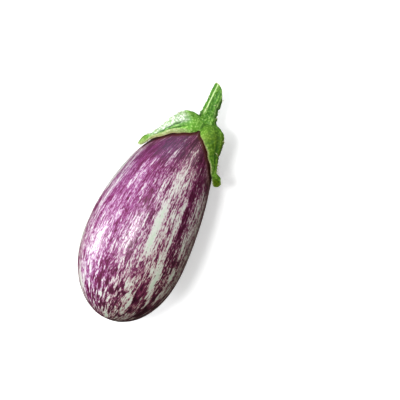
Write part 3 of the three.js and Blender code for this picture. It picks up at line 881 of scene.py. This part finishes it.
# %% Tools for remeshing
def remeshed(piece, voxel, smoothing):
    """Replaces a piece's mesh by its voxel remesh, smoothed."""
    joined = piece.modifiers.new("join", "REMESH")
    joined.mode = "VOXEL"
    joined.voxel_size = voxel * MM
    joined.use_smooth_shade = True
    soften = piece.modifiers.new("soften", "SMOOTH")
    soften.factor = 0.5
    soften.iterations = smoothing
    seen = piece.evaluated_get(bpy.context.evaluated_depsgraph_get())
    mesh = bpy.data.meshes.new_from_object(seen)
    piece.modifiers.clear()
    piece.data = mesh
    mesh.shade_smooth()


def places_of(piece):
    """The points of a piece, one to a row."""
    found = np.zeros(len(piece.data.vertices) * 3)
    piece.data.vertices.foreach_get("co", found)
    return found.reshape(-1, 3)


def nearest(sources, wanted):
    """For each wanted point, the index of the nearest source."""
    tree = KDTree(len(sources))
    for i, source in enumerate(sources):
        tree.insert(source, i)
    tree.balance()
    return np.array([tree.find(p)[1] for p in wanted])


row_of_points = [(0, 0, 0), (5, 0, 0), (9, 0, 0)]
print("index of the point nearest to 8 among 0, 5 and 9:", nearest(row_of_points, [(8, 0, 0)])[0])

# %% One closed calyx
VOXEL, SMOOTHING = 0.37, 2

sources = lay_down(points)
remeshed(calyx, VOXEL, SMOOTHING)
calyx_points = places_of(calyx)
told = facts[nearest(sources, calyx_points)]
print("calyx:", len(calyx_points), "points, in mm:", np.ptp(calyx_points, axis=0).round(4) / MM)

# %% [markdown]
# ## Pebbled flesh
# Calyx and stem are not smooth: their flesh swells between tiny veins into pebbles a millimetre or two
# across. A Voronoi texture gives such cells. The group puts out their height, for a bump, and their shade,
# which is light on top and dark in the seams, and a finer noise breaks up both. `Size` is the number of
# pebbles in a metre, and another noise bends the cells, so that no seam is straight.

# %% The pebbles group
pebbles, given, result = new_group(
    "pebbled flesh",
    {"Place": "Vector", "Size": "Float", "Roughness": "Float"},
    {"Height": "Float", "Shade": "Float"},
)
WARP, WARP_SIZE, GRAIN_SIZE = 0.0016, 500.0, 1500.0  # in metres, and twice in a metre

warp = node(pebbles, "TexNoise", {"Vector": given["Place"], "Scale": WARP_SIZE, "Detail": 1.0})
bent = node(
    pebbles,
    "VectorMath",
    {0: warp.outputs["Color"], 1: (WARP, WARP, WARP), 2: given["Place"]},
    operation="MULTIPLY_ADD",
)
cells = node(
    pebbles,
    "TexVoronoi",
    {"Vector": bent.outputs["Vector"], "Scale": given["Size"], "Smoothness": 0.35},
    feature="SMOOTH_F1",
)
grain = node(
    pebbles,
    "TexNoise",
    {"Vector": given["Place"], "Scale": GRAIN_SIZE, "Detail": 2.0, "Roughness": given["Roughness"]},
)
swollen = arithmetic(pebbles, "SUBTRACT", 1.0, cells.outputs["Distance"])
height = arithmetic(pebbles, "MULTIPLY_ADD", grain.outputs["Fac"], 0.4, swollen)
shade = node(pebbles, "MapRange", {"Value": height, "From Min": 0.55, "From Max": 1.15})
pebbles.links.new(height, result["Height"])
pebbles.links.new(shade.outputs["Result"], result["Shade"])


def pebbles_in(tree, place, size, roughness=0.6):
    """Places the group in a material, and returns its outputs."""
    inputs = {"Place": place, "Size": size, "Roughness": roughness}
    return node(tree, "Group", inputs, node_tree=pebbles).outputs


print("nodes in the pebbles group:", len(pebbles.nodes))

# %% [markdown]
# ## The finish of the calyx
# Fresh calyx flesh is a lively mid green. It is pale on the rolled margins and brown on their dried rim. The
# blistered hump of the front lobe gets a white dusting that is mostly a painted highlight, the lobe that
# hangs over the side is olive and partly darkened by painted shade, and folds and valleys get painted shade.
# Painting by hand could do that, but it would be lost with each change of shape. Instead the lobes' own terms
# say where each colour goes: 0 at the stem to 1 at the tip, and -1 to 1 across. Hollows are found by
# comparing each point with its smoothed neighbours.

# %% How deep each point lies
def hollows(piece, rounds):
    """Per point, how far it lies under the mean of its surroundings, in millimetres; bumps are negative."""
    mesh = piece.data
    ends = np.zeros(len(mesh.edges) * 2, int)
    mesh.edges.foreach_get("vertices", ends)
    a, b = ends.reshape(-1, 2).T
    start = places_of(piece)
    outward = np.zeros(len(start) * 3)
    mesh.vertices.foreach_get("normal", outward)
    count = np.bincount(a, minlength=len(start)) + np.bincount(b, minlength=len(start))
    mean = start
    for _ in range(rounds):
        total = np.zeros_like(mean)
        np.add.at(total, a, mean[b])
        np.add.at(total, b, mean[a])
        mean = total / count[:, None]
    return ((mean - start) * outward.reshape(-1, 3)).sum(1) / MM


NEAR, FAR = 6, 60  # rounds of smoothing, for narrow folds and for broad valleys
narrow_hollows, broad_hollows = hollows(calyx, NEAR), hollows(calyx, FAR)
print("deepest hollows, in mm:", narrow_hollows.max().round(2), "and", broad_hollows.max().round(2))

# %% Where a point lies on its lobe
share_along, side, upper, number = told.T
share_along = np.clip(share_along, 0, 1.2)
on_lobe = (number >= 0).astype(float)
front = (number == len(LOBES) - 1) * 1.0  # the lobe that faces the window
hanging = (number == 0) * 1.0  # the lobe that hangs down over the side
outer = np.abs(side)


def of_lobe(word):
    """At each point, that value of the lobe it belongs to."""
    return np.array([lobe[word] for lobe in LOBES] + [0.0])[number.astype(int)]


print("points on each lobe and on the mound:", np.bincount(number.astype(int) % (len(LOBES) + 1)))

# %% Pale margins
# Each pair says where a change starts and where it is complete, as shares of a lobe's length or half width.
PALE_FROM, PALE_FULL = 0.93, 0.99
CUP, WIDENS = (0.85, 0.93), (0.3, 0.75)  # the hanging lobe's spoon, and where the front margin grows wide
PALE_STARTS, PALE_FADES, PALE_END = (0.2, 0.55), (0.84, 0.95), (-0.035, -0.008)

cupped = hanging * smooth(share_along, *CUP)
wide = np.maximum(front * (side > 0) * smooth(share_along, *WIDENS), 1.3 * cupped)
narrow = 0.035 * hanging * (1 - cupped)
margin = smooth(outer, PALE_FROM - 0.2 * wide + narrow, PALE_FULL - 0.12 * wide + 0.3 * narrow)
margin = margin * smooth(share_along, *PALE_STARTS) * on_lobe
ends_at = 1 + CURL_RADIUS * of_lobe("curl") / np.maximum(of_lobe("reach"), 1)
margin = np.maximum(margin, 0.8 * smooth(share_along - ends_at, *PALE_END) * on_lobe)
margin = margin * np.where(number == 0, 0.6 + 0.4 * cupped, 1)
margin = margin * (1 - 0.45 * front * smooth(share_along, *PALE_FADES))
print("points on a pale margin:", int((margin > 0.5).sum()))

# %% Rims, tips and painted highlight
RIM_ACROSS, RIM_ALONG, TIP = (0.95, 1.0), (0.15, 0.3), (0.86, 1.0)
HIGHLIGHT_START, HIGHLIGHT_END, HIGHLIGHT_SIDE = (0.24, 0.38), (0.7, 0.9), (0.45, 0.78)

edge = smooth(outer, *RIM_ACROSS) * smooth(share_along, *RIM_ALONG) * (1 - upper)
tip = smooth(share_along, *TIP) * np.where(number == 0, 0, 0.7 - 0.25 * front)
# The front lobe's hump, which faces the window, gets a painted highlight, laid on as a white dusting.
bloom_highlight = front * smooth(share_along, *HIGHLIGHT_START) * (1 - smooth(share_along, *HIGHLIGHT_END))
bloom_highlight = bloom_highlight * (1 - smooth(side, *HIGHLIGHT_SIDE)) * upper
print("points on a tip:", int((tip > 0.3).sum()), "and in the bloom:", int((bloom_highlight > 0.5).sum()))

# %% Painted shade in folds and valleys
VALLEYS = 0.03, 0.3  # millimetres deep

creased = creases_at(share_along, outer) * of_lobe("crease")
folded = fold_at(share_along, side) * of_lobe("fold")
# Darker green in hollows, creases and the fold beside the rib: painted shade.
fold_shade = np.clip(0.5 + 1.1 * narrow_hollows + (0.55 * creased + 0.3 * folded) * upper, 0, 1)
valley_shade = smooth(broad_hollows, *VALLEYS)
print("valleys:", np.percentile(valley_shade, [50, 80, 95]).round(2))

# %% The olive flank, partly painted shade
# The hanging lobe's olive is partly painted shade.
OLIVE_SHADE = 0.73  # how olive the hanging lobe is, before it gains or loses a little
OLIVE_MIDDLE, OLIVE_LENGTH, OLIVE_FROM = 0.42, 0.2, (0.12, 0.34)
# Towards the tip the low side is a little less olive, and the high side, which turns from the light, a little
# more: painted shade.
FAR_PART, HIGH_SIDE = (0.25, 0.55), (-0.4, 0)
SPOON_OLIVE, FRONT_OLIVE = (0.84, 0.92), (0.82, 0.94)

far_part = (0.2 * smooth(side, *HIGH_SIDE) - 0.12) * smooth(share_along, *FAR_PART)
olive_and_shade = OLIVE_SHADE + 0.2 * bell(share_along, OLIVE_MIDDLE, OLIVE_LENGTH) + far_part
olive_and_shade = olive_and_shade * (0.5 + 0.5 * smooth(share_along, *OLIVE_FROM))
olive_and_shade = hanging * np.maximum(olive_and_shade, 1.15 * smooth(share_along, *SPOON_OLIVE))
olive_and_shade = np.maximum(olive_and_shade, 0.7 * front * smooth(share_along, *FRONT_OLIVE))
store(calyx, {"margin": margin, "edge": edge, "tip": tip, "bloom_highlight": bloom_highlight})
store(calyx, {"fold_shade": fold_shade, "valley_shade": valley_shade, "olive_and_shade": olive_and_shade})
print("olive points:", int((olive_and_shade > 0.5).sum()))

# %% Flesh of the calyx
CALYX_PEBBLES, CLOUDS = 620.0, 110.0  # in a metre

cap_finish, tree, shader = new_material(
    "calyx_flesh", Roughness=0.5, Specular_IOR_Level=0.22, Sheen_Weight=0.03
)
coordinates = node(tree, "TexCoord").outputs["Object"]
pebbled = pebbles_in(tree, coordinates, CALYX_PEBBLES)
clouds = node(tree, "TexNoise", {"Vector": coordinates, "Scale": CLOUDS, "Detail": 3.0})
clouds = arithmetic(tree, "MULTIPLY", clouds.outputs["Fac"], 0.6)
mixed = arithmetic(tree, "MULTIPLY_ADD", pebbled["Shade"], 0.42, clouds)
flesh = ramp(
    tree, mixed, [(0.25, srgb(84, 144, 42)), (0.5, srgb(126, 190, 66)), (0.75, srgb(180, 222, 124))]
)
olive = ramp(tree, mixed, [(0.25, srgb(60, 90, 0)), (0.75, srgb(114, 142, 8))])
pale_flesh = ramp(tree, mixed, [(0.3, srgb(158, 178, 108)), (0.7, srgb(204, 214, 164))])


def lay_over(tree, below, mask, strength, colour):
    """Blends a colour in where an attribute of that name is high."""
    return blend_colours(tree, arithmetic(tree, "MULTIPLY", attribute(tree, mask), strength), below, colour)


print("nodes so far:", len(tree.nodes))

# %% Colour of the calyx
WHITE_HIGHLIGHT, DRIED_RIM = srgb(232, 238, 226), srgb(186, 158, 120)
FOLD_SHADE_GREEN, VALLEY_SHADE_GREEN = srgb(34, 74, 18), srgb(44, 88, 14)

# The olive overlay also darkens the side of the lobe that turns from the light: painted shade.
flesh = lay_over(tree, flesh, "olive_and_shade", 0.9, olive)
flesh = lay_over(tree, flesh, "margin", 1.0, pale_flesh)
flesh = lay_over(tree, flesh, "tip", 0.5, pale_flesh)
# The white dusting on the front lobe's hump is mostly a painted highlight.
highlight_grain = arithmetic(tree, "MULTIPLY_ADD", pebbled["Shade"], 1.2, 0.32, clamp=True)
highlight_share = arithmetic(tree, "MULTIPLY", attribute(tree, "bloom_highlight"), highlight_grain)
flesh = blend_colours(tree, highlight_share, flesh, WHITE_HIGHLIGHT)
flesh = lay_over(tree, flesh, "edge", 0.55, DRIED_RIM)
# Darker green in folds and broad valleys: painted shade.
deep_shade = node(
    tree, "MapRange", {"Value": attribute(tree, "fold_shade"), "From Min": 0.5, "From Max": 1.0, "To Max": 0.75}
)
flesh = blend_colours(tree, deep_shade.outputs["Result"], flesh, FOLD_SHADE_GREEN)
flesh = lay_over(tree, flesh, "valley_shade", 0.7, VALLEY_SHADE_GREEN)
tree.links.new(flesh, shader.inputs["Base Color"])
add_bump(tree, shader, pebbled["Height"], 0.5 * MM, 0.5)
calyx.data.materials.append(cap_finish)
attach(calyx, "root")
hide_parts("calyx")
print("nodes in the calyx's material:", len(tree.nodes))

# %% [markdown]
# ## Where the calyx touches the skin
# Beside the calyx the skin gets a dark brown line about two millimetres wide, and it makes the cap's outline
# crisp. It is a brown stain and painted shade in one: the shade that falls under the margins of the lobes is
# laid into the colour. The distance from each point of the skin to the nearest point of the calyx tells where
# the line is.

# %% Stain and painted shade beside the calyx
# The line of stain and painted shade fades between these two distances, in millimetres.
DARK_LINE_FROM, DARK_LINE_TO = 1.3, 3.2  # where the stain starts to fade, and where it ends
near_cap = np.flatnonzero(SHARE < 0.4)
closest = calyx_points[nearest(calyx_points, skin_points[near_cap])]
distance = np.linalg.norm(skin_points[near_cap] - closest, axis=1) / MM
stain_and_shade = np.zeros(len(skin_points))
stain_and_shade[near_cap] = 1 - smooth(distance, DARK_LINE_FROM, DARK_LINE_TO)
store(fruit, {"stain_and_shade": stain_and_shade})
print("stained points of the skin:", int((stain_and_shade > 0.5).sum()))

# %% [markdown]
# ## The stem
# The stem is a ribbed stalk that flares where it joins the calyx, with cross wrinkles at its foot, one tall
# rib with a scalloped back, and a knife cut on top. A bevelled curve could give the stalk but not the ribs,
# so it is a rolled-up grid like the fruit. Points beyond a cutting plane are pushed back onto it, and a fine
# remesh evens out the crowded points there.

# %% Sizes of the stem
STEM_FOOT, STEM_LENGTH, STEM_RADIUS = 2.2, 30.8, 4.8
FLARE, FLARE_LENGTH = 3.8, 17.0  # how much wider the foot is, and how far up
LEAN, BEND = 0.052, 0.9
STEM_RIBS, STEM_RIB_HEIGHT, STEM_RIB_TURN = 5, 0.5, 2.79
KEEL, KEEL_START, KEEL_RISE, KEEL_SCALLOP, KEEL_SPREAD = 0.75, 12.5, 1.0, 5.5, 0.42  # the tall rib
# The planes that trim the top: the slant in degrees, how far to the right, and how far down.
CUTS = [(13, 0, 0), (-38, 1.0, 0), (40, 3.2, 0.7), (64, 6.6, 3.7)]
WRINKLE, WRINKLE_PITCH, WRINKLED = 0.4, 4.4, 13.0  # cross wrinkles, up to that height
STEP, STEP_START, STEP_SLANT, STEP_RISE = 0.4, 12.8, 3.2, 1.2  # where the ribs start above the wrinkles
COARSE_FIBRES, FINE_FIBRES = 0.22, 0.15
# Knobs at the foot: the angle in degrees, how far up, the radius and the height.
KNOBS = [
    (-45, 7.5, 1.3, 0.9),
    (15, 9.5, 1.4, 0.5),
    (-8, 15.5, 1.2, 0.4),
    (140, 8, 1.5, 0.7),
    (-120, 12, 1.4, 0.6),
]
print("stem:", STEM_LENGTH, "mm long,", 2 * STEM_RADIUS, "mm across, with", len(KNOBS), "knobs")


# %% The stem's formula
def rib_phase(along, angle):
    """The turn of the ribs, which wander a little as they go up."""
    return STEM_RIBS * angle + STEM_RIB_TURN + 0.25 * np.sin(along / 5.0)


def stem_points(along, angle, share=1.0):
    """A point `along` the stem and `angle` round it from its upper side; a share of 0 is the middle line."""
    foot = FLARE * np.maximum(0, 1 - along / FLARE_LENGTH) ** 2
    scallop = 0.4 + 0.6 * np.abs(np.sin(np.pi * (along - KEEL_START) / KEEL_SCALLOP))
    away = (angle + np.pi / 2) % (2 * np.pi) - np.pi
    keel = KEEL * scallop * bell(away, 0, KEEL_SPREAD) * smooth(along, KEEL_START, KEEL_START + KEEL_RISE)
    rib = STEM_RIB_HEIGHT * np.cos(rib_phase(along, angle))
    step_from = STEP_START + STEP_SLANT * (1 - np.sin(angle))
    step = STEP * smooth(along, step_from, step_from + STEP_RISE) * smooth(np.sin(angle), -0.1, 0.3)
    rolled = np.stack([along, 5 * np.cos(angle), 5 * np.sin(angle)], -1)
    wrinkle = np.sin(2 * np.pi * along / WRINKLE_PITCH + 2.5 * lumps(rolled, 5.0, 11))
    wrinkle = WRINKLE * wrinkle * (1 - smooth(along, 0.6 * WRINKLED, WRINKLED))
    fibres = COARSE_FIBRES * lumps(rolled * [0.25, 1, 1], 1.0, 12)
    fibres = fibres + FINE_FIBRES * lumps(rolled, 1.6, 13)
    r = STEM_RADIUS + foot + rib + keel + step + wrinkle + fibres
    for knob_angle, knob_along, size, height in KNOBS:
        beside = STEM_RADIUS * ((angle - math.radians(knob_angle) + np.pi) % (2 * np.pi) - np.pi)
        r = r + height * bell(np.hypot(beside, along - knob_along), 0, size)
    aside = LEAN * along + BEND * np.sin(np.pi * along / STEM_LENGTH)
    return np.stack([along, aside - r * share * np.sin(angle), r * share * np.cos(angle)], -1)


upper_side = stem_points(6.0 * np.arange(6), np.zeros(6))
print("radius of the stem on its upper side, every 6 mm:", upper_side[:, 2].round(1))

# %% Build the stem
STEM_ROWS, STEM_COLUMNS = 190, 160
SPARE = 4  # millimetres that stand over the stem's length, for the planes to cut away
DRIED, DRY_SLANT = 1.1, 20  # how far down from a cut it is dry and pale, on planes that slant less than this

stem_base = over_skin(np.zeros(1), np.zeros(1), np.full(1, STEM_FOOT))[0]
rows = np.linspace(0, STEM_LENGTH + SPARE, STEM_ROWS)
turns = np.linspace(0, 2 * np.pi, STEM_COLUMNS, endpoint=False)
along, around = (a.ravel() for a in np.meshgrid(rows, turns, indexing="ij"))
stalk = stem_points(along, around)
tip_point = np.array([STEM_LENGTH, LEAN * STEM_LENGTH + STEM_RADIUS + STEM_RIB_HEIGHT / 2, 0])
cut_off = np.zeros(len(stalk))
for slant, to_right, down in CUTS:
    facing = np.array([math.cos(math.radians(slant)), -math.sin(math.radians(slant)), 0])
    beyond = (stalk - (tip_point - [down, to_right, 0])) @ facing
    stalk = stalk - np.maximum(0, beyond)[:, None] * facing
    if slant < DRY_SLANT:
        cut_off = np.maximum(cut_off, smooth(beyond, -DRIED, 0.1))
stem_faces = grid_faces(STEM_ROWS, STEM_COLUMNS, closed=True)
stem_faces.append(tuple(range(STEM_COLUMNS)))
stem_faces.append(tuple(reversed(range((STEM_ROWS - 1) * STEM_COLUMNS, STEM_ROWS * STEM_COLUMNS))))
stem = new_piece("cut_stem", lay_down(stalk + stem_base), stem_faces)
print("stem before the remesh:", len(stalk), "points")

# %% Remesh the stem and mark it
STEM_VOXEL, STEM_ROUNDS = 0.26, 8
RIBS_SHOW = 5, 9  # in millimetres up the stem
CREST, GROOVE = (0.8, 0.99), (0.5, 0.98)

stem_sources = places_of(stem)
remeshed(stem, STEM_VOXEL, SMOOTHING)
match = nearest(stem_sources, places_of(stem))
rolled = np.stack([np.cos(around), np.sin(around), along / STEM_LENGTH], -1)
fold_shade = np.clip(0.5 + 1.2 * hollows(stem, STEM_ROUNDS), 0, 1)
rib = np.cos(rib_phase(along, around))[match]
# Only the rib that faces the window gets the pale crest: a painted highlight.
facing_window = (0.5 + 0.5 * np.cos(around[match] + STEM_RIB_TURN / STEM_RIBS)) ** 3
ribs_show = smooth(along[match], *RIBS_SHOW)
crest_highlight, groove_shade = smooth(rib, *CREST) * ribs_show * facing_window, smooth(-rib, *GROOVE) * ribs_show
store(stem, {"place": rolled[match], "cut": cut_off[match], "fold_shade": fold_shade, "crest_highlight": crest_highlight, "groove_shade": groove_shade})
print("stem:", len(stem.data.vertices), "points")

# %% [markdown]
# ## The finish of the stem
# Long fibres show on the stem as light and dark streaks, and the cut shows dry, cream pith. Raised places are
# painted paler and hollows darker, the crest of the rib that faces the window gets a painted highlight, and
# the grooves between the ribs get painted shade. The two groups serve again with other values: streaks for
# the fibres and smaller pebbles for the flesh between them.

# %% Flesh of the stem
STEM_PEBBLES = 700.0  # in a metre

stem_finish, tree, shader = new_material(
    "stem_flesh", Roughness=0.5, Specular_IOR_Level=0.25, Sheen_Weight=0.05
)
pebbled = pebbles_in(tree, node(tree, "TexCoord").outputs["Object"], STEM_PEBBLES)
fibres = streaks_in(tree, attribute(tree, "place", "Vector"), 9, 5, 3)
fibres = arithmetic(tree, "MULTIPLY_ADD", fibres, 1.2, 0.3)
mixed = arithmetic(tree, "MULTIPLY_ADD", pebbled["Shade"], 0.35, fibres)
flesh = ramp(
    tree, mixed, [(0.2, srgb(48, 102, 14)), (0.45, srgb(86, 146, 32)), (0.72, srgb(160, 204, 104))]
)
pith = ramp(tree, pebbled["Shade"], [(0.2, srgb(178, 176, 120)), (0.8, srgb(226, 226, 188))])
print("nodes so far:", len(tree.nodes))

# %% Colour of the stem
HOLLOW_SHADE_GREEN, RAISED_LIGHT_GREEN = srgb(36, 72, 18), srgb(196, 222, 150)
GROOVE_SHADE_GREEN, CREST_HIGHLIGHT_GREEN = srgb(52, 104, 30), srgb(206, 228, 164)

# Paler on raised places, darker in hollows and grooves: painted light and shade.
fold_shade_out = attribute(tree, "fold_shade")
raised_light = node(tree, "MapRange", {"Value": fold_shade_out, "From Min": 0.45, "From Max": 0.1, "To Max": 0.6})
flesh = blend_colours(tree, raised_light.outputs["Result"], flesh, RAISED_LIGHT_GREEN)
deep_shade = node(tree, "MapRange", {"Value": fold_shade_out, "From Min": 0.5, "From Max": 0.95, "To Max": 0.8})
flesh = blend_colours(tree, deep_shade.outputs["Result"], flesh, HOLLOW_SHADE_GREEN)
flesh = lay_over(tree, flesh, "groove_shade", 0.55, GROOVE_SHADE_GREEN)
flesh = lay_over(tree, flesh, "crest_highlight", 0.75, CREST_HIGHLIGHT_GREEN)
flesh = lay_over(tree, flesh, "cut", 1.0, pith)
tree.links.new(flesh, shader.inputs["Base Color"])
add_bump(tree, shader, pebbled["Height"], 0.4 * MM, 0.5)
stem.data.materials.append(stem_finish)
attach(stem, "root")
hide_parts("stem")
print("nodes in the stem's material:", len(tree.nodes))

# %% [markdown]
# ## Prickles
# Calyx and stem carry a few soft prickles, two or three millimetres long, that lean towards the tips. Hair
# particles would be lost when the model is exported, so each prickle is a small tapering tube with a swollen
# foot that stands on a known place of a lobe or of the stem.

# %% A prickle
PRICKLE_RADIUS, PRICKLE_LENGTH, PRICKLE_SUNK = 0.42, 2.9, 0.6
PRICKLE_RINGS, PRICKLE_SIDES = 7, 8

chance = np.random.default_rng(9)
prickle_points, prickle_faces, ripeness = [], [], []


def add_prickle(root, outward, onward, length):
    """A curved tapering tube that starts under the surface at root."""
    lean = unit(outward + onward * chance.uniform(0.3, 0.7))
    droop = onward * chance.uniform(0.0, 0.35)
    beside = unit(np.cross(lean, [0.3, 0.9, 0.2]))
    across = np.cross(lean, beside)
    first = sum(len(p) for p in prickle_points)
    for share in np.linspace(0, 1, PRICKLE_RINGS):
        centre = root + lean * (share * (length + PRICKLE_SUNK) - PRICKLE_SUNK) + droop * length * share**2
        radius = PRICKLE_RADIUS * (0.35 + 0.65 * (1 - share) ** 2) * (1 - share) ** 0.35 + 0.03
        ring = np.linspace(0, 2 * np.pi, PRICKLE_SIDES, endpoint=False)[:, None]
        prickle_points.append(centre + radius * (np.cos(ring) * beside + np.sin(ring) * across))
        ripeness.append(np.full(PRICKLE_SIDES, share))
    tube = grid_faces(PRICKLE_RINGS, PRICKLE_SIDES, closed=True)
    last_ring = range((PRICKLE_RINGS - 1) * PRICKLE_SIDES, PRICKLE_RINGS * PRICKLE_SIDES)
    tube += [tuple(range(PRICKLE_SIDES)), tuple(reversed(last_ring))]
    prickle_faces.extend(tuple(i + first for i in face) for face in tube)


print("points on a prickle:", PRICKLE_RINGS * PRICKLE_SIDES)

# %% Build the prickles
LOBE_PRICKLES = [(0.38, 0.55), (0.54, 0.4), (0.68, 0.62), (0.79, 0.5)]  # share of a lobe's length and width
# The number of the lobe comes first here: 0 hangs over the side, and 4 faces the window.
MORE_PRICKLES = [(0, 0.72, 0.9), (0, 0.76, 0.8), (4, 0.6, 0.42), (4, 0.77, 0.38)]
STEM_PRICKLES = 9
GOLDEN_ANGLE = math.pi * (3 - math.sqrt(5))
AHEAD = 0.02  # a step along a lobe, to find which way it runs

places = [(n, u, v) for n in range(len(LOBES)) for u, v in LOBE_PRICKLES] + MORE_PRICKLES
for n, u, v in places:
    at_u, at_v, upper_face = np.array([u, u + AHEAD, u]), np.full(3, v), np.array([1, 1, 0])
    root, ahead, under = lobe_points(LOBES[n], at_u, at_v, upper_face)[0]
    outward = unit(root - under)
    add_prickle(root, outward, unit(ahead - root), PRICKLE_LENGTH * chance.uniform(0.75, 1.1))
for i in range(STEM_PRICKLES):
    angle = np.array((i + 0.4) * GOLDEN_ANGLE)
    along = np.array(mix(6.0, STEM_LENGTH - 11, i / (STEM_PRICKLES - 1)))
    root, core = stem_points(along, angle) + stem_base, stem_points(along, angle, 0.0) + stem_base
    add_prickle(root, unit(root - core), X_AXIS, 0.7 * PRICKLE_LENGTH * chance.uniform(0.7, 1.1))
prickles = new_piece("prickles", lay_down(np.concatenate(prickle_points)), prickle_faces)
store(prickles, {"ripe": np.concatenate(ripeness)})
print("prickles:", len(places) + STEM_PRICKLES)

# %% [markdown]
# ## The finish of the prickles
# A prickle is green at its swollen foot and turns to pale horn towards a brownish point. Its points store how
# far along they lie, so one ramp gives all three. A little noise keeps the prickles from looking alike.

# %% The prickles' material
prickle_finish, tree, shader = new_material("prickle", Roughness=0.5)
specked = node(tree, "TexNoise", {"Vector": node(tree, "TexCoord").outputs["Object"], "Scale": 900.0})
along_it = arithmetic(tree, "MULTIPLY_ADD", specked.outputs["Fac"], 0.3, attribute(tree, "ripe"))
horn = ramp(
    tree, along_it, [(0.15, srgb(120, 166, 66)), (0.5, srgb(196, 200, 146)), (0.95, srgb(150, 108, 88))]
)
tree.links.new(horn, shader.inputs["Base Color"])
prickles.data.materials.append(prickle_finish)
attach(prickles, "root")
print("nodes in the prickles' material:", len(tree.nodes))

# %% [markdown]
# ## The floor
# A studio picture wants a plain white sheet with one soft shadow. A plain white floor, however, also lights
# the underside of the fruit and mirrors in its glossy rim, and the fruit looks pale and flat. So the sheet
# is white only for the camera: for the light that bounces off it, it is a dark, warm grey, and in mirror
# images it is nearly black. The Light Path node tells the three apart. A little glow keeps the sheet white.

# %% Floor
FLOOR_SIZE = 1.9
WHITE, BLACK = (1, 1, 1, 1), (0, 0, 0, 1)
PAPER, BOUNCED, MIRRORED = (0.94, 0.94, 0.94, 1), (0.15, 0.13, 0.08, 1), (0.03, 0.026, 0.018, 1)
PAPER_GLOW = 0.3

bpy.ops.mesh.primitive_plane_add(size=FLOOR_SIZE)
floor = bpy.context.object
floor.name = "pale_floor"
floor_finish, tree, shader = new_material("pale_floor", Roughness=0.9, Specular_IOR_Level=0.1)
rays = node(tree, "LightPath").outputs
unseen = blend_colours(tree, rays["Is Glossy Ray"], BOUNCED, MIRRORED)
tree.links.new(
    blend_colours(tree, rays["Is Camera Ray"], unseen, PAPER), shader.inputs["Base Color"]
)
tree.links.new(
    blend_colours(tree, rays["Is Camera Ray"], BLACK, WHITE), shader.inputs["Emission Color"]
)
shader.inputs["Emission Strength"].default_value = PAPER_GLOW
floor.data.materials.append(floor_finish)
print("floor:", FLOOR_SIZE, "m wide")

# %% [markdown]
# ## The light
# Three soft lamps do the work. A wide one stands low at the upper left, like a window, and makes the broad
# highlight on that side. One hangs overhead, for the thin highlight on the belly and the shadow beneath, and
# a large weak one fills the other side. Discs give rounder highlights than squares. The world adds a glow
# that is strongest on the window's side, and it is plain white where the camera looks past the floor.

# %% Lamps
def area_light(name, place, size, power, colour=(1, 1, 1)):
    """A round soft lamp that faces the middle of the scene."""
    lamp = bpy.data.lights.new(name, "AREA")
    lamp.shape = "DISK"
    lamp.size = size
    lamp.energy = power
    lamp.color = colour
    holder = bpy.data.objects.new(name, lamp)
    bpy.context.scene.collection.objects.link(holder)
    holder.location = place
    holder.rotation_euler = Vector(place).to_track_quat("Z", "Y").to_euler()


area_light("window", (-0.25, 1.0, 0.3), 0.32, 9, (0.95, 0.97, 1.0))
area_light("overhead", (0.1, 0.27, 1.1), 0.24, 6.5)
area_light("fill", (0.8, -0.6, 0.6), 0.6, 2.8)
print("lamps:", {lamp.name: round(lamp.energy, 1) for lamp in bpy.data.lights})

# %% The world's glow
GLOW_FROM = (0.4, 0.85, 0.35)  # the direction in which it is brightest
DIM, BRIGHT = 0.04, 0.8

world = bpy.data.worlds.new("studio")
bpy.context.scene.world = world
world.use_nodes = True
sky = world.node_tree
direction = node(sky, "TexCoord").outputs["Generated"]
facing = node(sky, "VectorMath", {0: direction, 1: GLOW_FROM}, operation="DOT_PRODUCT")
glow = node(
    sky,
    "MapRange",
    {
        "Value": facing.outputs["Value"],
        "From Min": -0.6,
        "From Max": 0.7,
        "To Min": DIM,
        "To Max": BRIGHT,
    },
)
seen = node(sky, "LightPath").outputs["Is Camera Ray"]
backdrop = arithmetic(sky, "MAXIMUM", seen, glow.outputs["Result"])
sky.links.new(backdrop, sky.nodes["Background"].inputs["Strength"])
sky.nodes["Background"].inputs["Color"].default_value = WHITE
bpy.context.scene.view_settings.view_transform = "Standard"
print("nodes in the world:", len(sky.nodes))

# %% [markdown]
# ## The camera
# The camera looks down on the fruit from almost straight above, turned so that the stem points up and to the
# right. Its three axes are worked out from two angles rather than by aiming it at an object, so that the turn
# in the picture can be set as well. The aim lies beside the fruit, which puts it left of the middle.

# %% Camera
CAMERA_TILT, CAMERA_LEAN = math.radians(10), math.radians(25.26)  # off the vertical, and in the picture
CAMERA_DISTANCE = 0.9
FOCAL_PIXELS, IMAGE_WIDTH = 1225.9, 400
AIM_RIGHT, AIM_UP, AIM_HEIGHT = 40.34 * MM, 17.05 * MM, 0.040

backward = Vector((math.sin(CAMERA_TILT), 0, math.cos(CAMERA_TILT)))
uphill = Vector((math.cos(CAMERA_TILT), 0, -math.sin(CAMERA_TILT)))
leftward = Vector((0, 1, 0))
up = uphill * math.cos(CAMERA_LEAN) + leftward * math.sin(CAMERA_LEAN)
right = uphill * math.sin(CAMERA_LEAN) - leftward * math.cos(CAMERA_LEAN)
aim = Vector((0, 0, AIM_HEIGHT)) + right * AIM_RIGHT + up * AIM_UP
lens = bpy.data.cameras.new("camera")
lens.sensor_width = 36
lens.lens = FOCAL_PIXELS * lens.sensor_width / IMAGE_WIDTH
camera = bpy.data.objects.new("camera", lens)
bpy.context.scene.collection.objects.link(camera)
turned = Matrix((right, up, backward)).transposed().to_4x4()
camera.matrix_world = Matrix.Translation(aim + backward * CAMERA_DISTANCE) @ turned
bpy.context.scene.camera = camera
print("focal length:", round(lens.lens, 1), "mm")
